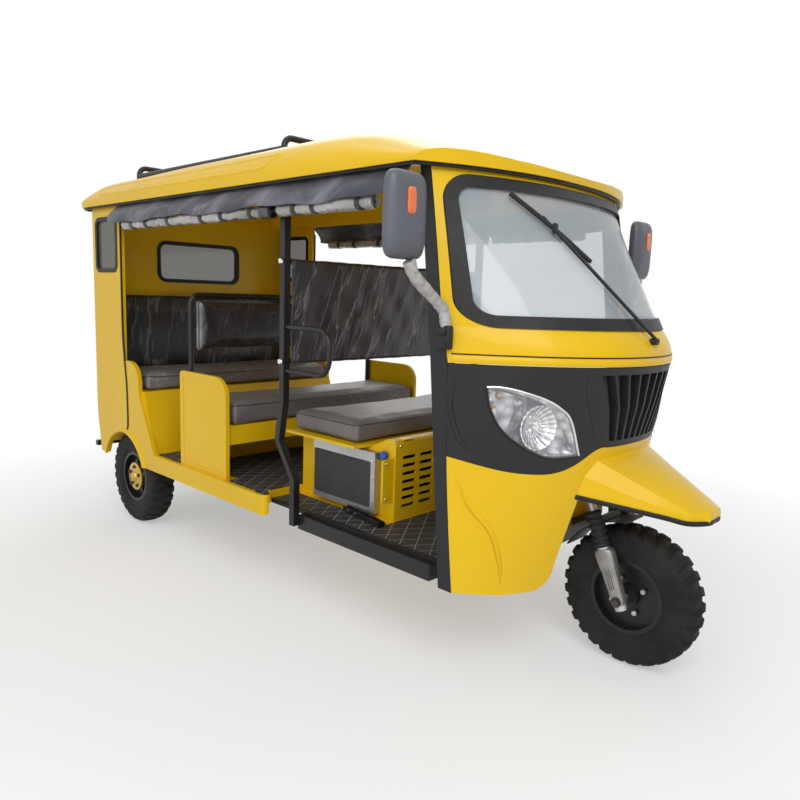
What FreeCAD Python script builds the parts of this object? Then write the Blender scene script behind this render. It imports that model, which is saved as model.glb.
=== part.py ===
import FreeCAD, Part
import math
import os
import Sketcher

# Auto rickshaw with one steered front wheel, two driven rear wheels and three rows of seats.
# X points forward, Y to the left and Z up, in millimetres.
# The origin is on the ground below the middle of the whole vehicle.
# Places named "back" are measured rearwards from the front axle, and heights from the ground.

SIZES = {
    # whole vehicle
    "wheelbase": 2656,
    "nose_reach": 268,
    "tail_reach": 534,
    "body_half_width": 667,
    "front_inset": 37,
    "track_inset": 87,
    "frame_inset": 45,
    "roof_overhang": 33,
    "screen_inset": 24,
    "screen_drop": 25,
    "hoop_inset": 30,
    "backrest_inset": 77,
    "curtain_inset": 55,
    "mirror_reach": 170,
    "tail_lamp_inset": 92,
    "wall": 22,
    "sheet": 6,
    "overrun": 40,
    "running_gap": 0.3,
    # wheels
    "tyre_radius": 260,
    "tyre_width": 130,
    "tread_width": 112,
    "rim_radius": 128,
    "rim_flange": 14,
    "rim_wall": 5,
    "rim_width": 96,
    "disc_wall": 8,
    "disc_offset": 18,
    "hub_radius": 42,
    "hub_length": 92,
    "axle_radius": 10,
    "rear_hub_radius": 52,
    "rear_hub_pitch": 76,
    "rear_hub_boss": 17,
    "rear_hub_studs": 5,
    "rear_stub_radius": 16,
    "lug_depth": 10,
    # frame
    "rail_half_gap": 360,
    "rail_width": 50,
    "rail_height": 60,
    "rail_top": 395,
    "rail_back": 3100,
    "rail_front_back": 455,
    "cross_height": 30,
    "cross_depth": 40,
    "cross_gap": 430,
    "step_back": 1190,
    "step_tube": 40,
    "bumper_tube": 30,
    "bumper_height": 364,
    "neck_radius": 18,
    "neck_foot_y": 150,
    "neck_back": 350,
    "neck_drop": 22,
    # steering head
    "rake": 23,
    "fork_offset": 45,
    "head_low": 520,
    "head_length": 200,
    "head_radius": 30,
    "stem_radius": 15,
    # fork
    "leg_half_gap": 98,
    "slider_radius": 23,
    "slider_length": 230,
    "slider_drop": 34,
    "gaiter_radius": 30,
    "gaiter_length": 135,
    "gaiter_ribs": 6,
    "gaiter_groove": 6,
    "tube_radius": 17,
    "clamp_height": 28,
    "clamp_depth": 95,
    "clamp_margin": 30,
    "clamp_gap": 2,
    # handlebar
    "bar_radius": 11,
    "bar_rise": 42,
    "bar_inner": 70,
    "bar_outer": 230,
    "bar_tip": 350,
    "bar_sweep": 70,
    "grip_radius": 17,
    "grip_length": 115,
    # inner mudguard
    "guard_gap": 16,
    "guard_wall": 5,
    "guard_half_width": 66,
    "guard_start": 92,
    "guard_end": 150,
    # floors
    "floor_top": 434,
    "step_top": 401,
    "floor_front_back": 1440,
    "step_front_back": 400,
    "sill_low": 352,
    "sill_front_back": 1400,
    "mat": 6,
    "mat_gap": 12,
    "toe_board_top": 650,
    # rear body
    "quarter_back": 3040,
    "quarter_front_back": 2690,
    "cheek_front_back": 2518,
    "cheek_low": 746,
    "cheek_top": 915,
    "cheek_round": 110,
    "quarter_low": 357,
    "quarter_sill_back": 2360,
    "arch_radius": 236,
    "arch_rise": 16,
    "arch_shift": 44,
    "arch_lip": 30,
    "arch_flare": 12,
    "wheel_room": 288,
    "roof_low": 1747,
    "side_window_back": 2865,
    "side_window_width": 270,
    "side_window_low": 1390,
    "side_window_height": 300,
    "side_window_round": 45,
    "rear_window_half": 290,
    "rear_window_low": 1350,
    "rear_window_height": 250,
    "rear_window_round": 60,
    "seal_width": 22,
    "seal_proud": 4,
    "glass": 5,
    # roof
    "roof_rear_back": 3140,
    "roof_rear_round": 70,
    "roof_nose_back": 330,
    "roof_nose_curve": 190,
    "roof_wall": 18,
    "roof_band": 35,
    "roof_band_proud": 3,
    "roof_flange": 74,
    # roof rack
    "rack_half_width": 450,
    "rack_rear_back": 2900,
    "rack_front_back": 1540,
    "rack_tube": 14,
    "rack_rise": 62,
    "rack_hoop_rise": 48,
    # front of the cab
    "nose_low": 312,
    "arch_foot_half": 296,
    "arch_foot": 420,
    "arch_foot_spread": 16,
    "arch_foot_round": 80,
    "apron_flick": 24,
    "belt": 1104,
    "belt_groove": 3,
    "front_wall": 18,
    "front_curve_power": 2.2,
    "screen_low": 1225,
    "screen_round": 92,
    "screen_seal": 40,
    "screen_seal_proud": 7,
    "screen_seal_depth": 16,
    "grille_top": 1094,
    "grille_low": 830,
    "grille_top_half": 284,
    "grille_low_half": 190,
    "grille_frame": 15,
    "grille_depth": 30,
    "slat_count": 8,
    "slat_wall": 10,
    "slat_kink": 14,
    "lamp_depth": 60,
    "lamp_lip": 3,
    # beak over the front wheel
    "beak_root": 112,
    "beak_half": 260,
    "beak_low": 606,
    "beak_height": 191,
    "beak_wall": 5,
    # front posts beside the doorway
    "post_wall": 40,
    "post_gap": 2.5,
    "post_foot_back": 339,
    "post_head_back": 508,
    "post_foot_width": 60,
    "post_head_width": 44,
    "post_waist_width": 74,
    # middle posts, handles and rods
    "hoop_tube": 30,
    "hoop_back": 1275,
    "hoop_kink_back": 1304,
    "hoop_knee_back": 1198,
    "hoop_kink_height": 700,
    "hoop_bend_height": 870,
    "hoop_knee_height": 548,
    "rod_radius": 9,
    "rod_low": 1034,
    "rod_high": 1440,
    "handle_radius": 10,
    "handle_reach": 285,
    "handle_high": 1176,
    "handle_low": 996,
    "handle_round": 70,
    # driver's seat and engine
    "cover_rear_back": 1440,
    "cover_front_back": 847,
    "cover_half_width": 400,
    "cover_top": 694,
    "cover_wall": 8,
    "hump_top": 738,
    "hump_flat": 52,
    "hump_round": 16,
    "ear_reach": 62,
    "ear_low": 485,
    "ear_height": 182,
    "ear_round": 14,
    "tray_half_width": 498,
    "tray_wall": 12,
    "vent_count": 7,
    "vent_columns": 2,
    "vent_height": 15,
    "vent_pitch": 34,
    "vent_width": 82,
    "vent_column_pitch": 104,
    "vent_edge": 42,
    "vent_low": 453,
    "driver_cushion_depth": 450,
    "driver_cushion_height": 92,
    "driver_cushion_half": 490,
    "cushion_round": 34,
    "radiator_rear_back": 1320,
    "radiator_width": 390,
    "radiator_tank": 40,
    "radiator_low_tank": 22,
    "radiator_bar": 24,
    "radiator_low": 422,
    "radiator_height": 258,
    "radiator_depth": 36,
    "radiator_tube": 7,
    "radiator_tube_pitch": 14,
    "radiator_tube_depth": 3,
    "engine_rear_back": 1400,
    "engine_length": 380,
    "engine_half_width": 200,
    "engine_height": 250,
    # middle seat
    "seat_rear_back": 2117,
    "seat_front_back": 1703,
    "seat_side_top": 915,
    "seat_side_wall": 20,
    "seat_side_round": 95,
    "seat_side_border": 30,
    "seat_side_recess": 3,
    "seat_box_top": 690,
    "seat_lip": 92,
    "seat_cushion_height": 108,
    "seat_cushion_front_back": 1684,
    "backrest_wall": 60,
    "backrest_low": 1000,
    "backrest_height": 275,
    "backrest_back": 2050,
    "back_tube": 12,
    # rear seat
    "bench_front_back": 2490,
    "bench_top": 760,
    "bench_cushion_height": 92,
    "bench_back_wall": 85,
    "bench_back_height": 440,
    "bench_slope": 110,
    # soft things
    "soft_gap": 0.3,
    "curtain_wall": 4,
    "valance_wall": 6,
    "valance_height": 120,
    "valance_front_back": 560,
    "valance_rear_back": 2705,
    "roll_radius": 28,
    "roll_front_back": 700,
    "roll_rear_back": 2560,
    # mirrors and wiper
    "mirror_back": 450,
    "mirror_width": 165,
    "mirror_height": 265,
    "mirror_depth": 52,
    "mirror_centre": 1562,
    "mirror_round": 40,
    "mirror_foot_height": 1190,
    "mirror_foot_back": 402,
    "mirror_arm": 9,
    "wiper_pivot_y": -20,
    "wiper_pivot_height": 1190,
    "wiper_arm": 6,
    "wiper_tip_y": -300,
    "wiper_tip_height": 1600,
    # dashboard, lamps and exhaust
    "dash_height": 1120,
    "dash_wall": 60,
    "dash_half": 430,
    "dash_back": 235,
    "tail_lamp_height": 190,
    "tail_lamp_width": 95,
    "tail_lamp_low": 640,
    "tail_lamp_depth": 34,
    "axle_tube": 32,
    "diff_radius": 95,
    "spring_width": 46,
    "spring_reach": 450,
    "spring_pack": 20,
    "muffler_radius": 52,
    "muffler_length": 360,
    "muffler_back": 2330,
    "muffler_y": 230,
    "muffler_height": 285,
    "pipe_radius": 16,
}

doc = FreeCAD.newDocument("AutoRickshaw")
sheet = doc.addObject("Spreadsheet::Sheet", "Sizes")


class Size:
    # A size of the sheet, or a sum of such sizes, with the expression that gives it.
    def __init__(self, value, text):
        self.value = float(value)
        self.text = text

    def __add__(self, other):
        other = asSize(other)
        return Size(self.value + other.value, "(%s + %s)" % (self.text, other.text))

    def __sub__(self, other):
        other = asSize(other)
        return Size(self.value - other.value, "(%s - %s)" % (self.text, other.text))

    def __mul__(self, other):
        other = asSize(other)
        return Size(self.value * other.value, "(%s * %s)" % (self.text, other.text))

    def __truediv__(self, other):
        other = asSize(other)
        return Size(self.value / other.value, "(%s / %s)" % (self.text, other.text))

    def __neg__(self):
        return Size(-self.value, "(0 - %s)" % self.text)

    def __radd__(self, other):
        return asSize(other) + self

    def __rsub__(self, other):
        return asSize(other) - self

    def __rmul__(self, other):
        return asSize(other) * self


def asSize(number):
    if isinstance(number, Size):
        return number
    return Size(number, repr(number))


class Table:
    # Writes every size into a cell with an alias, and hands it out by name.
    def __init__(self, values):
        for row, (name, value) in enumerate(values.items(), start=1):
            sheet.set("A%d" % row, name)
            sheet.set("B%d" % row, str(value))
            sheet.setAlias("B%d" % row, name)
            setattr(self, name, Size(value, "Sizes." + name))


size = Table(SIZES)

# Half widths that follow the body's, and the windscreen's place below the roof
size.front_half_width = size.body_half_width - size.front_inset
size.rear_half_track = size.body_half_width - size.track_inset
size.frame_half_width = size.body_half_width - size.frame_inset
size.roof_half_width = size.body_half_width + size.roof_overhang
size.hoop_half_width = size.body_half_width - size.hoop_inset
size.backrest_half = size.body_half_width - size.backrest_inset
size.curtain_half = size.body_half_width - size.curtain_inset
size.tail_lamp_y = size.body_half_width - size.tail_lamp_inset
size.screen_half_width = size.front_half_width - size.screen_inset
size.mirror_side = size.front_half_width + size.mirror_reach
size.screen_top = size.roof_low - size.screen_drop
doc.recompute()

ZERO = Size(0, "0")
front_axle = (size.wheelbase + size.tail_reach - size.nose_reach) / 2
rear_axle = front_axle - size.wheelbase
nodes = []


def behind(distance):
    # a place along X, measured rearwards from the front axle
    return front_axle - distance


def setSize(thing, name, value):
    setattr(thing, name, value.value)
    thing.setExpression(name, value.text)


def setPlace(thing, place, turn=None):
    point = [asSize(value) for value in place]
    rotation = turn or FreeCAD.Rotation()
    thing.Placement = FreeCAD.Placement(FreeCAD.Vector(*[value.value for value in point]), rotation)
    for axis, value in zip("xyz", point):
        thing.setExpression("Placement.Base." + axis, value.text)


def keep(thing, name):
    thing.Label = name
    nodes.append(thing)
    return thing


# Plain solids

def makeBox(name, low, high):
    box = doc.addObject("Part::Box", name)
    low = [asSize(value) for value in low]
    high = [asSize(value) for value in high]
    for side, a, b in zip(("Length", "Width", "Height"), low, high):
        setSize(box, side, b - a)
    setPlace(box, low)
    return box


def makeCylinder(name, radius, length, place, axis=(0, 0, 1)):
    cylinder = doc.addObject("Part::Cylinder", name)
    setSize(cylinder, "Radius", asSize(radius))
    setSize(cylinder, "Height", asSize(length))
    turn = FreeCAD.Rotation(FreeCAD.Vector(0, 0, 1), FreeCAD.Vector(*axis))
    setPlace(cylinder, place, turn)
    return cylinder


def cut(name, base, tool):
    result = doc.addObject("Part::Cut", name)
    result.Base = base
    result.Tool = tool
    return result


def common(name, base, tool):
    result = doc.addObject("Part::Common", name)
    result.Base = base
    result.Tool = tool
    return result


def fuse(name, shapes):
    result = doc.addObject("Part::MultiFuse", name)
    result.Shapes = shapes
    result.Refine = True
    return result


def together(name, shapes):
    result = doc.addObject("Part::Compound", name)
    result.Links = shapes
    return result


def mirrored(name, source):
    # the same piece on the other side of the vehicle
    result = doc.addObject("Part::Mirroring", name)
    result.Source = source
    result.Base = FreeCAD.Vector(0, 0, 0)
    result.Normal = FreeCAD.Vector(0, 1, 0)
    return result


def feature(name, shape):
    result = doc.addObject("Part::Feature", name)
    result.Shape = shape
    return result


# Outlines: each corner is a pair of sizes, or a pair with the radius that rounds it.

def roundedCorner(before, corner, after, radius):
    # the ends of the arc that rounds a corner, its middle and its centre
    here = FreeCAD.Vector(*corner, 0)
    to_last = (FreeCAD.Vector(*before, 0) - here).normalize()
    to_next = (FreeCAD.Vector(*after, 0) - here).normalize()
    half = to_last.getAngle(to_next) / 2
    reach = radius / math.tan(half)
    start = here + to_last * reach
    end = here + to_next * reach
    bisector = (to_last + to_next).normalize()
    centre = here + bisector * (radius / math.sin(half))
    middle = centre - bisector * radius
    return start, middle, end, centre


def outlineSketch(body, name, plane, corners):
    sketch = body.newObject("Sketcher::SketchObject", name)
    origin = [item for item in body.Origin.OriginFeatures if item.Role == plane][0]
    sketch.AttachmentSupport = [(origin, "")]
    sketch.MapMode = "FlatFace"
    drawOutline(sketch, corners)
    return sketch


def drawOutline(sketch, corners):
    # lines between the corners, tangent arcs at the round ones, and every corner placed by its sizes
    count = len(corners)
    points = [(asSize(corner[0]), asSize(corner[1])) for corner in corners]
    radii = [asSize(corner[2]) if len(corner) > 2 else None for corner in corners]
    flat = [(x.value, y.value) for x, y in points]
    arcs = {}
    for index in range(count):
        if radii[index] and radii[index].value > 0:
            before = flat[index - 1]
            after = flat[(index + 1) % count]
            arcs[index] = roundedCorner(before, flat[index], after, radii[index].value)
    starts = [arcs[i][2] if i in arcs else FreeCAD.Vector(*flat[i], 0) for i in range(count)]
    ends = [arcs[i][0] if i in arcs else FreeCAD.Vector(*flat[i], 0) for i in range(count)]
    lines = [Part.LineSegment(starts[i], ends[(i + 1) % count]) for i in range(count)]
    sketch.addGeometry(lines, False)
    constraints = []
    bound = []
    for index in range(count):
        last_line = (index - 1) % count
        x, y = points[index]
        if index not in arcs:
            constraints.append(Sketcher.Constraint("Coincident", last_line, 2, index, 1))
            bound.append((len(constraints), x))
            constraints.append(Sketcher.Constraint("DistanceX", -1, 1, index, 1, x.value))
            bound.append((len(constraints), y))
            constraints.append(Sketcher.Constraint("DistanceY", -1, 1, index, 1, y.value))
            continue
        start, middle, end, centre = arcs[index]
        leftward = (middle - start).cross(end - middle).z > 0
        first_end = 1 if leftward else 2
        run = Part.Arc(start, middle, end) if leftward else Part.Arc(end, middle, start)
        arc = sketch.addGeometry(run, False)
        corner = sketch.addGeometry(Part.Point(FreeCAD.Vector(*flat[index], 0)), True)
        constraints.append(Sketcher.Constraint("Tangent", last_line, 2, arc, first_end))
        constraints.append(Sketcher.Constraint("Tangent", index, 1, arc, 3 - first_end))
        constraints.append(Sketcher.Constraint("PointOnObject", corner, 1, last_line))
        constraints.append(Sketcher.Constraint("PointOnObject", corner, 1, index))
        bound.append((len(constraints), x))
        constraints.append(Sketcher.Constraint("DistanceX", -1, 1, corner, 1, x.value))
        bound.append((len(constraints), y))
        constraints.append(Sketcher.Constraint("DistanceY", -1, 1, corner, 1, y.value))
        bound.append((len(constraints), radii[index]))
        constraints.append(Sketcher.Constraint("Radius", arc, radii[index].value))
    sketch.addConstraint(constraints)
    for index, value in bound:
        sketch.setExpression("Constraints[%d]" % index, value.text)


def makePad(name, plane, corners, depth, place=(0, 0, 0), middle=False):
    # an outline on one of the body's own planes, given its thickness
    body = doc.addObject("PartDesign::Body", name)
    sketch = outlineSketch(body, name + "_outline", plane, corners)
    pad = body.newObject("PartDesign::Pad", name + "_pad")
    pad.Profile = sketch
    pad.Midplane = middle
    setSize(pad, "Length", asSize(depth))
    setPlace(body, place)
    return body


def makeRevolution(name, corners, place):
    # an outline of radius and width, turned about the axle's own direction, which is Y
    body = doc.addObject("PartDesign::Body", name)
    sketch = outlineSketch(body, name + "_outline", "XY_Plane", corners)
    turn = body.newObject("PartDesign::Revolution", name + "_turn")
    turn.Profile = sketch
    turn.ReferenceAxis = (sketch, ["V_Axis"])
    turn.Angle = 360.0
    setPlace(body, place)
    return body


def rectangle(low_x, low_y, high_x, high_y, radius=None):
    corners = [(low_x, low_y), (high_x, low_y), (high_x, high_y), (low_x, high_y)]
    if radius is None:
        return corners
    return [(x, y, radius) for x, y in corners]


def vector(x, y, z):
    return FreeCAD.Vector(asSize(x).value, asSize(y).value, asSize(z).value)


def makeTube(points, radius, bend=None):
    # a round bar along straight runs joined by tangent arcs
    spots = [vector(*point) for point in points]
    edges = []
    last = spots[0]
    for index in range(1, len(spots) - 1):
        to_last = (spots[index - 1] - spots[index]).normalize()
        to_next = (spots[index + 1] - spots[index]).normalize()
        half = to_last.getAngle(to_next) / 2
        reach = bend.value / math.tan(half)
        start = spots[index] + to_last * reach
        end = spots[index] + to_next * reach
        bisector = (to_last + to_next).normalize()
        middle = spots[index] + bisector * (bend.value / math.sin(half) - bend.value)
        edges.append(Part.LineSegment(last, start).toShape())
        edges.append(Part.Arc(start, middle, end).toShape())
        last = end
    edges.append(Part.LineSegment(last, spots[-1]).toShape())
    path = Part.Wire(edges)
    direction = (spots[1] - spots[0]).normalize()
    ring = Part.Wire(Part.Circle(spots[0], direction, radius.value).toShape())
    return path.makePipeShell([ring], True, False)


def evenCurve(points):
    # a smooth curve whose parameters are evenly spaced, so that neighbouring sections match
    last = len(points) - 1.0
    curve = Part.BSplineCurve()
    curve.interpolate(Points=points, Parameters=[index / last for index in range(len(points))])
    return curve


def bothSides(shape):
    return shape.mirror(FreeCAD.Vector(0, 0, 0), FreeCAD.Vector(0, 1, 0))


# Steering geometry

rake = math.radians(size.rake.value)
steer_up = FreeCAD.Vector(-math.sin(rake), 0, math.cos(rake))
steer_ahead = FreeCAD.Vector(math.cos(rake), 0, math.sin(rake))
axle_spot = vector(front_axle, ZERO, size.tyre_radius)
steer_foot = axle_spot - steer_ahead * size.fork_offset.value


def onHead(up, ahead=0.0, left=0.0):
    # a point of the steering assembly, up along the steering axis from the foot beside the axle
    return steer_foot + steer_up * up + steer_ahead * ahead + FreeCAD.Vector(0, left, 0)


def headCylinder(radius, up, length, ahead=0.0, left=0.0):
    return Part.makeCylinder(radius, length, onHead(up, ahead, left), steer_up)


# Wheels

def tyre(name, place):
    half = size.tyre_width / 2
    tread = size.tread_width / 2
    seat = size.rim_radius
    flange = size.rim_width / 2
    corners = [
        (seat, -flange),
        (seat + size.rim_flange, -flange),
        (seat + size.rim_flange * 3, -half, size.rim_flange * 2),
        (size.tyre_radius - size.lug_depth * 3, -half, size.lug_depth),
        (size.tyre_radius - size.lug_depth, -tread),
        (size.tyre_radius, -tread * 0.55),
        (size.tyre_radius, tread * 0.55),
        (size.tyre_radius - size.lug_depth, tread),
        (size.tyre_radius - size.lug_depth * 3, half, size.lug_depth),
        (seat + size.rim_flange * 3, half, size.rim_flange * 2),
        (seat + size.rim_flange, flange),
        (seat, flange),
    ]
    return keep(makeRevolution(name + "_ring", corners, place), name)


def wheel(name, place, hub, bore, side):
    # a pressed rim with its disc and hub, bored for its axle; the disc lies towards the outer side
    edge = size.rim_width / 2
    outer = size.rim_radius
    lip = outer + size.rim_flange
    inner = outer - size.rim_wall
    disc_low = -size.disc_offset
    disc_high = disc_low + size.disc_wall
    half = size.hub_length / 2
    corners = [
        (bore, -half),
        (hub, -half),
        (hub, disc_low),
        (inner, disc_low),
        (inner, -edge - size.rim_wall),
        (lip, -edge - size.rim_wall),
        (lip, -edge),
        (outer, -edge),
        (outer, edge),
        (lip, edge),
        (lip, edge + size.rim_wall),
        (inner, edge + size.rim_wall),
        (inner, disc_high),
        (hub, disc_high),
        (hub, half),
        (bore, half),
    ]
    if side > 0:
        corners = [(radius, -width) for radius, width in corners]
    return makeRevolution(name + "_rim", corners, place)


def rearWheel(name, side):
    # a ring of bosses stands on the disc beside the hub
    y = size.rear_half_track * side
    pieces = [wheel(name, (rear_axle, y, size.tyre_radius), size.rear_hub_radius, rear_bore, side)]
    start = y + (size.disc_offset - size.disc_wall) * side
    length = size.hub_length / 2 - size.disc_offset + size.disc_wall - size.sheet
    count = int(size.rear_hub_studs.value)
    for index in range(count):
        turn = math.radians(90 + 360.0 * index / count)
        x = rear_axle + size.rear_hub_pitch * math.cos(turn)
        z = size.tyre_radius + size.rear_hub_pitch * math.sin(turn)
        boss_name = "%s_boss_%d" % (name, index)
        pieces.append(makeCylinder(boss_name, size.rear_hub_boss, length, (x, start, z), (0, side, 0)))
    keep(fuse(name + "_built", pieces), name)


front_spot = (front_axle, ZERO, size.tyre_radius)
left_spot = (rear_axle, size.rear_half_track, size.tyre_radius)
right_spot = (rear_axle, -size.rear_half_track, size.tyre_radius)
front_bore = size.axle_radius + size.running_gap
rear_bore = size.rear_stub_radius + size.running_gap
tyre("front_tyre", front_spot)
tyre("rear_tyre_left", left_spot)
tyre("rear_tyre_right", right_spot)
keep(wheel("front_wheel", front_spot, size.hub_radius, front_bore, -1), "front_wheel")
rearWheel("rear_wheel_left", 1)
rearWheel("rear_wheel_right", -1)


# Frame

def chassisFrame():
    half_rail = size.rail_width / 2
    rail_low = size.rail_top - size.rail_height
    rail = makeBox(
        "frame_rail",
        (behind(size.rail_back), size.rail_half_gap - half_rail, rail_low),
        (behind(size.neck_back), size.rail_half_gap + half_rail, size.rail_top),
    )
    pieces = [rail, mirrored("frame_rail_right", rail)]
    cross_top = size.floor_top - size.sheet
    wide = size.frame_half_width
    cross_places = [size.quarter_back - size.wall]
    first_cross = size.floor_front_back + size.sheet + size.cross_depth
    cross_places.append(first_cross)
    cross_places.append(first_cross + size.cross_gap)
    cross_places.append(first_cross + size.cross_gap * 2)
    for index, place in enumerate(cross_places):
        pieces.append(
            makeBox(
                "frame_cross_%d" % index,
                (behind(place), -wide, size.rail_top),
                (behind(place) + size.cross_depth, wide, cross_top),
            )
        )
    tube = size.step_tube
    step_high = size.step_top - size.sheet
    front_x = behind(size.rail_front_back)
    for side, y in (("left", wide - tube), ("right", -wide)):
        pieces.append(
            makeBox(
                "frame_step_" + side,
                (behind(size.step_back), y, rail_low),
                (front_x, y + tube, step_high),
            )
        )
    for index, x in enumerate((behind(size.step_back), front_x - tube)):
        pieces.append(
            makeBox("frame_step_cross_%d" % index, (x, -wide, rail_low), (x + tube, wide, step_high))
        )
    beam = size.bumper_tube
    beam_x = rear_axle - size.tail_reach
    pieces.append(
        makeBox(
            "frame_bumper",
            (beam_x, -wide, size.bumper_height - beam / 2),
            (beam_x + beam, wide, size.bumper_height + beam / 2),
        )
    )
    stay = makeBox(
        "frame_bumper_stay",
        (beam_x, size.rail_half_gap - beam / 2, size.bumper_height - beam / 2),
        (behind(size.rail_back) + beam, size.rail_half_gap + beam / 2, size.bumper_height + beam / 2),
    )
    pieces.extend([stay, mirrored("frame_bumper_stay_right", stay)])
    neck_x = behind(size.neck_back)
    pieces.append(
        makeBox(
            "frame_neck_cross",
            (neck_x - tube, -size.rail_half_gap, rail_low),
            (neck_x, size.rail_half_gap, size.rail_top),
        )
    )
    solid = headCylinder(size.head_radius.value, size.head_low.value, size.head_length.value)
    neck_top = onHead((size.head_low + size.head_length - size.neck_drop).value)
    for side in (1, -1):
        foot = vector(neck_x - tube / 2, size.neck_foot_y * side, size.rail_top - tube / 2)
        run = neck_top - foot
        solid = solid.fuse(Part.makeCylinder(size.neck_radius.value, run.Length, foot, run))
    bore = (size.stem_radius + size.running_gap).value
    reach = size.overrun.value
    length = size.head_length.value + reach * 2
    solid = solid.cut(headCylinder(bore, size.head_low.value - reach, length))
    pieces.append(feature("frame_neck", solid.removeSplitter()))
    keep(fuse("frame_welded", pieces), "chassis_frame")


chassisFrame()


def rearAxle():
    # axle tube with its differential and stubs, on two leaf springs below the rails
    stub_end = size.rear_half_track + size.hub_length / 2
    tube_end = size.rear_half_track - size.hub_length / 2 - size.running_gap
    pieces = [
        makeCylinder(
            "axle_stub",
            size.rear_stub_radius,
            stub_end * 2,
            (rear_axle, -stub_end, size.tyre_radius),
            (0, 1, 0),
        ),
        makeCylinder(
            "axle_tube",
            size.axle_tube,
            tube_end * 2,
            (rear_axle, -tube_end, size.tyre_radius),
            (0, 1, 0),
        ),
    ]
    centre = vector(rear_axle, ZERO, size.tyre_radius)
    bowl = Part.makeSphere(size.diff_radius.value, centre)
    pieces.append(feature("axle_bowl", bowl))
    rail_low = size.rail_top - size.rail_height
    low = size.tyre_radius + size.axle_tube - size.spring_pack / 4
    middle = vector(rear_axle, size.rail_half_gap, low)
    left = vector(rear_axle - size.spring_reach, size.rail_half_gap, rail_low - size.spring_pack)
    right = vector(rear_axle + size.spring_reach, size.rail_half_gap, rail_low - size.spring_pack)
    lift = FreeCAD.Vector(0, 0, size.spring_pack.value)
    under = Part.Arc(left, middle, right).toShape()
    over = Part.Arc(left + lift, middle + lift, right + lift).toShape()
    sides = [
        Part.LineSegment(left, left + lift).toShape(),
        Part.LineSegment(right, right + lift).toShape(),
    ]
    face = Part.Face(Part.Wire(Part.__sortEdges__([under, over] + sides)))
    shift = FreeCAD.Vector(0, -size.spring_width.value / 2, 0)
    face.translate(shift)
    spring = feature("axle_spring", face.extrude(FreeCAD.Vector(0, size.spring_width.value, 0)))
    pieces.extend([spring, mirrored("axle_spring_right", spring)])
    keep(fuse("axle_built", pieces), "rear_axle")


rearAxle()


# Fork, handlebar and inner mudguard, which turn with the steering

def gaiter(low, high, ahead, left):
    # a boot turned from a zigzag of ribs and grooves about the leg
    count = int(size.gaiter_ribs.value)
    outer = size.gaiter_radius.value
    pitch = (high - low) / count
    points = [FreeCAD.Vector(0, 0, low)]
    for index in range(count):
        points.append(FreeCAD.Vector(outer - size.gaiter_groove.value, 0, low + pitch * index))
        points.append(FreeCAD.Vector(outer, 0, low + pitch * (index + 0.5)))
    points.append(FreeCAD.Vector(outer - size.gaiter_groove.value, 0, high))
    points.append(FreeCAD.Vector(0, 0, high))
    face = Part.Face(Part.makePolygon(points + [points[0]]))
    boot = face.revolve(FreeCAD.Vector(0, 0, 0), FreeCAD.Vector(0, 0, 1), 360)
    turn = FreeCAD.Rotation(FreeCAD.Vector(0, 1, 0), -size.rake.value)
    boot.Placement = FreeCAD.Placement(onHead(0, ahead, left), turn)
    return boot


def frontFork():
    low = -size.slider_drop.value
    slider_top = low + size.slider_length.value
    gaiter_top = slider_top + size.gaiter_length.value
    head_low = size.head_low.value
    head_high = (size.head_low + size.head_length).value
    clamp = size.clamp_height.value
    ahead = size.fork_offset.value
    tube_top = head_high + clamp + size.clamp_gap.value
    solid = headCylinder(size.stem_radius.value, head_low - clamp, head_high - head_low + clamp * 2)
    for side in (1, -1):
        left = size.leg_half_gap.value * side
        legs = [
            headCylinder(size.slider_radius.value, low, slider_top - low, ahead, left),
            gaiter(slider_top, gaiter_top, ahead, left),
            headCylinder(size.tube_radius.value, slider_top, tube_top - slider_top, ahead, left),
        ]
        solid = solid.multiFuse(legs)
    wide = size.leg_half_gap.value + size.clamp_margin.value
    depth = size.clamp_depth.value
    lower = head_low - clamp - size.running_gap.value
    upper = head_high + size.running_gap.value
    for up in (lower, upper):
        plate = Part.makeBox(depth, wide * 2, clamp)
        plate.translate(FreeCAD.Vector(ahead - depth + size.clamp_margin.value, -wide, 0))
        frame = FreeCAD.Placement(onHead(up), FreeCAD.Rotation(FreeCAD.Vector(0, 1, 0), -size.rake.value))
        plate.Placement = frame.multiply(plate.Placement)
        solid = solid.fuse(plate)
    reach = (size.leg_half_gap + size.slider_radius).value
    axle = Part.makeCylinder(
        size.axle_radius.value, reach * 2, axle_spot - FreeCAD.Vector(0, reach, 0), FreeCAD.Vector(0, 1, 0)
    )
    solid = solid.fuse(axle).removeSplitter()
    keep(feature("fork_built", solid), "front_fork")


frontFork()


def handlebar():
    # one bent bar from grip to grip on a short post
    foot = (size.head_low + size.head_length + size.clamp_height + size.running_gap).value
    rise = foot + size.bar_rise.value
    sweep = FreeCAD.Vector(-size.bar_sweep.value, 0, 0)
    outer = size.bar_outer.value
    tip = size.bar_tip.value
    turns = [
        onHead(rise, 0, -tip) + sweep,
        onHead(rise, 0, -outer) + sweep,
        onHead(rise, 0, -size.bar_inner.value),
        onHead(rise, 0, size.bar_inner.value),
        onHead(rise, 0, outer) + sweep,
        onHead(rise, 0, tip) + sweep,
    ]
    bar = makeTube([[p.x, p.y, p.z] for p in turns], size.bar_radius, size.grip_radius * 2)
    grip_length = size.grip_length.value
    over = size.bar_radius.value
    along = FreeCAD.Vector(0, 1, 0)
    start = turns[-1] - along * (grip_length - over)
    left = Part.makeCylinder(size.grip_radius.value, grip_length, start, along)
    post = headCylinder(size.stem_radius.value, foot, size.bar_rise.value)
    solid = bar.multiFuse([left, bothSides(left), post])
    keep(feature("bar_built", solid), "handlebar")


handlebar()


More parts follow.
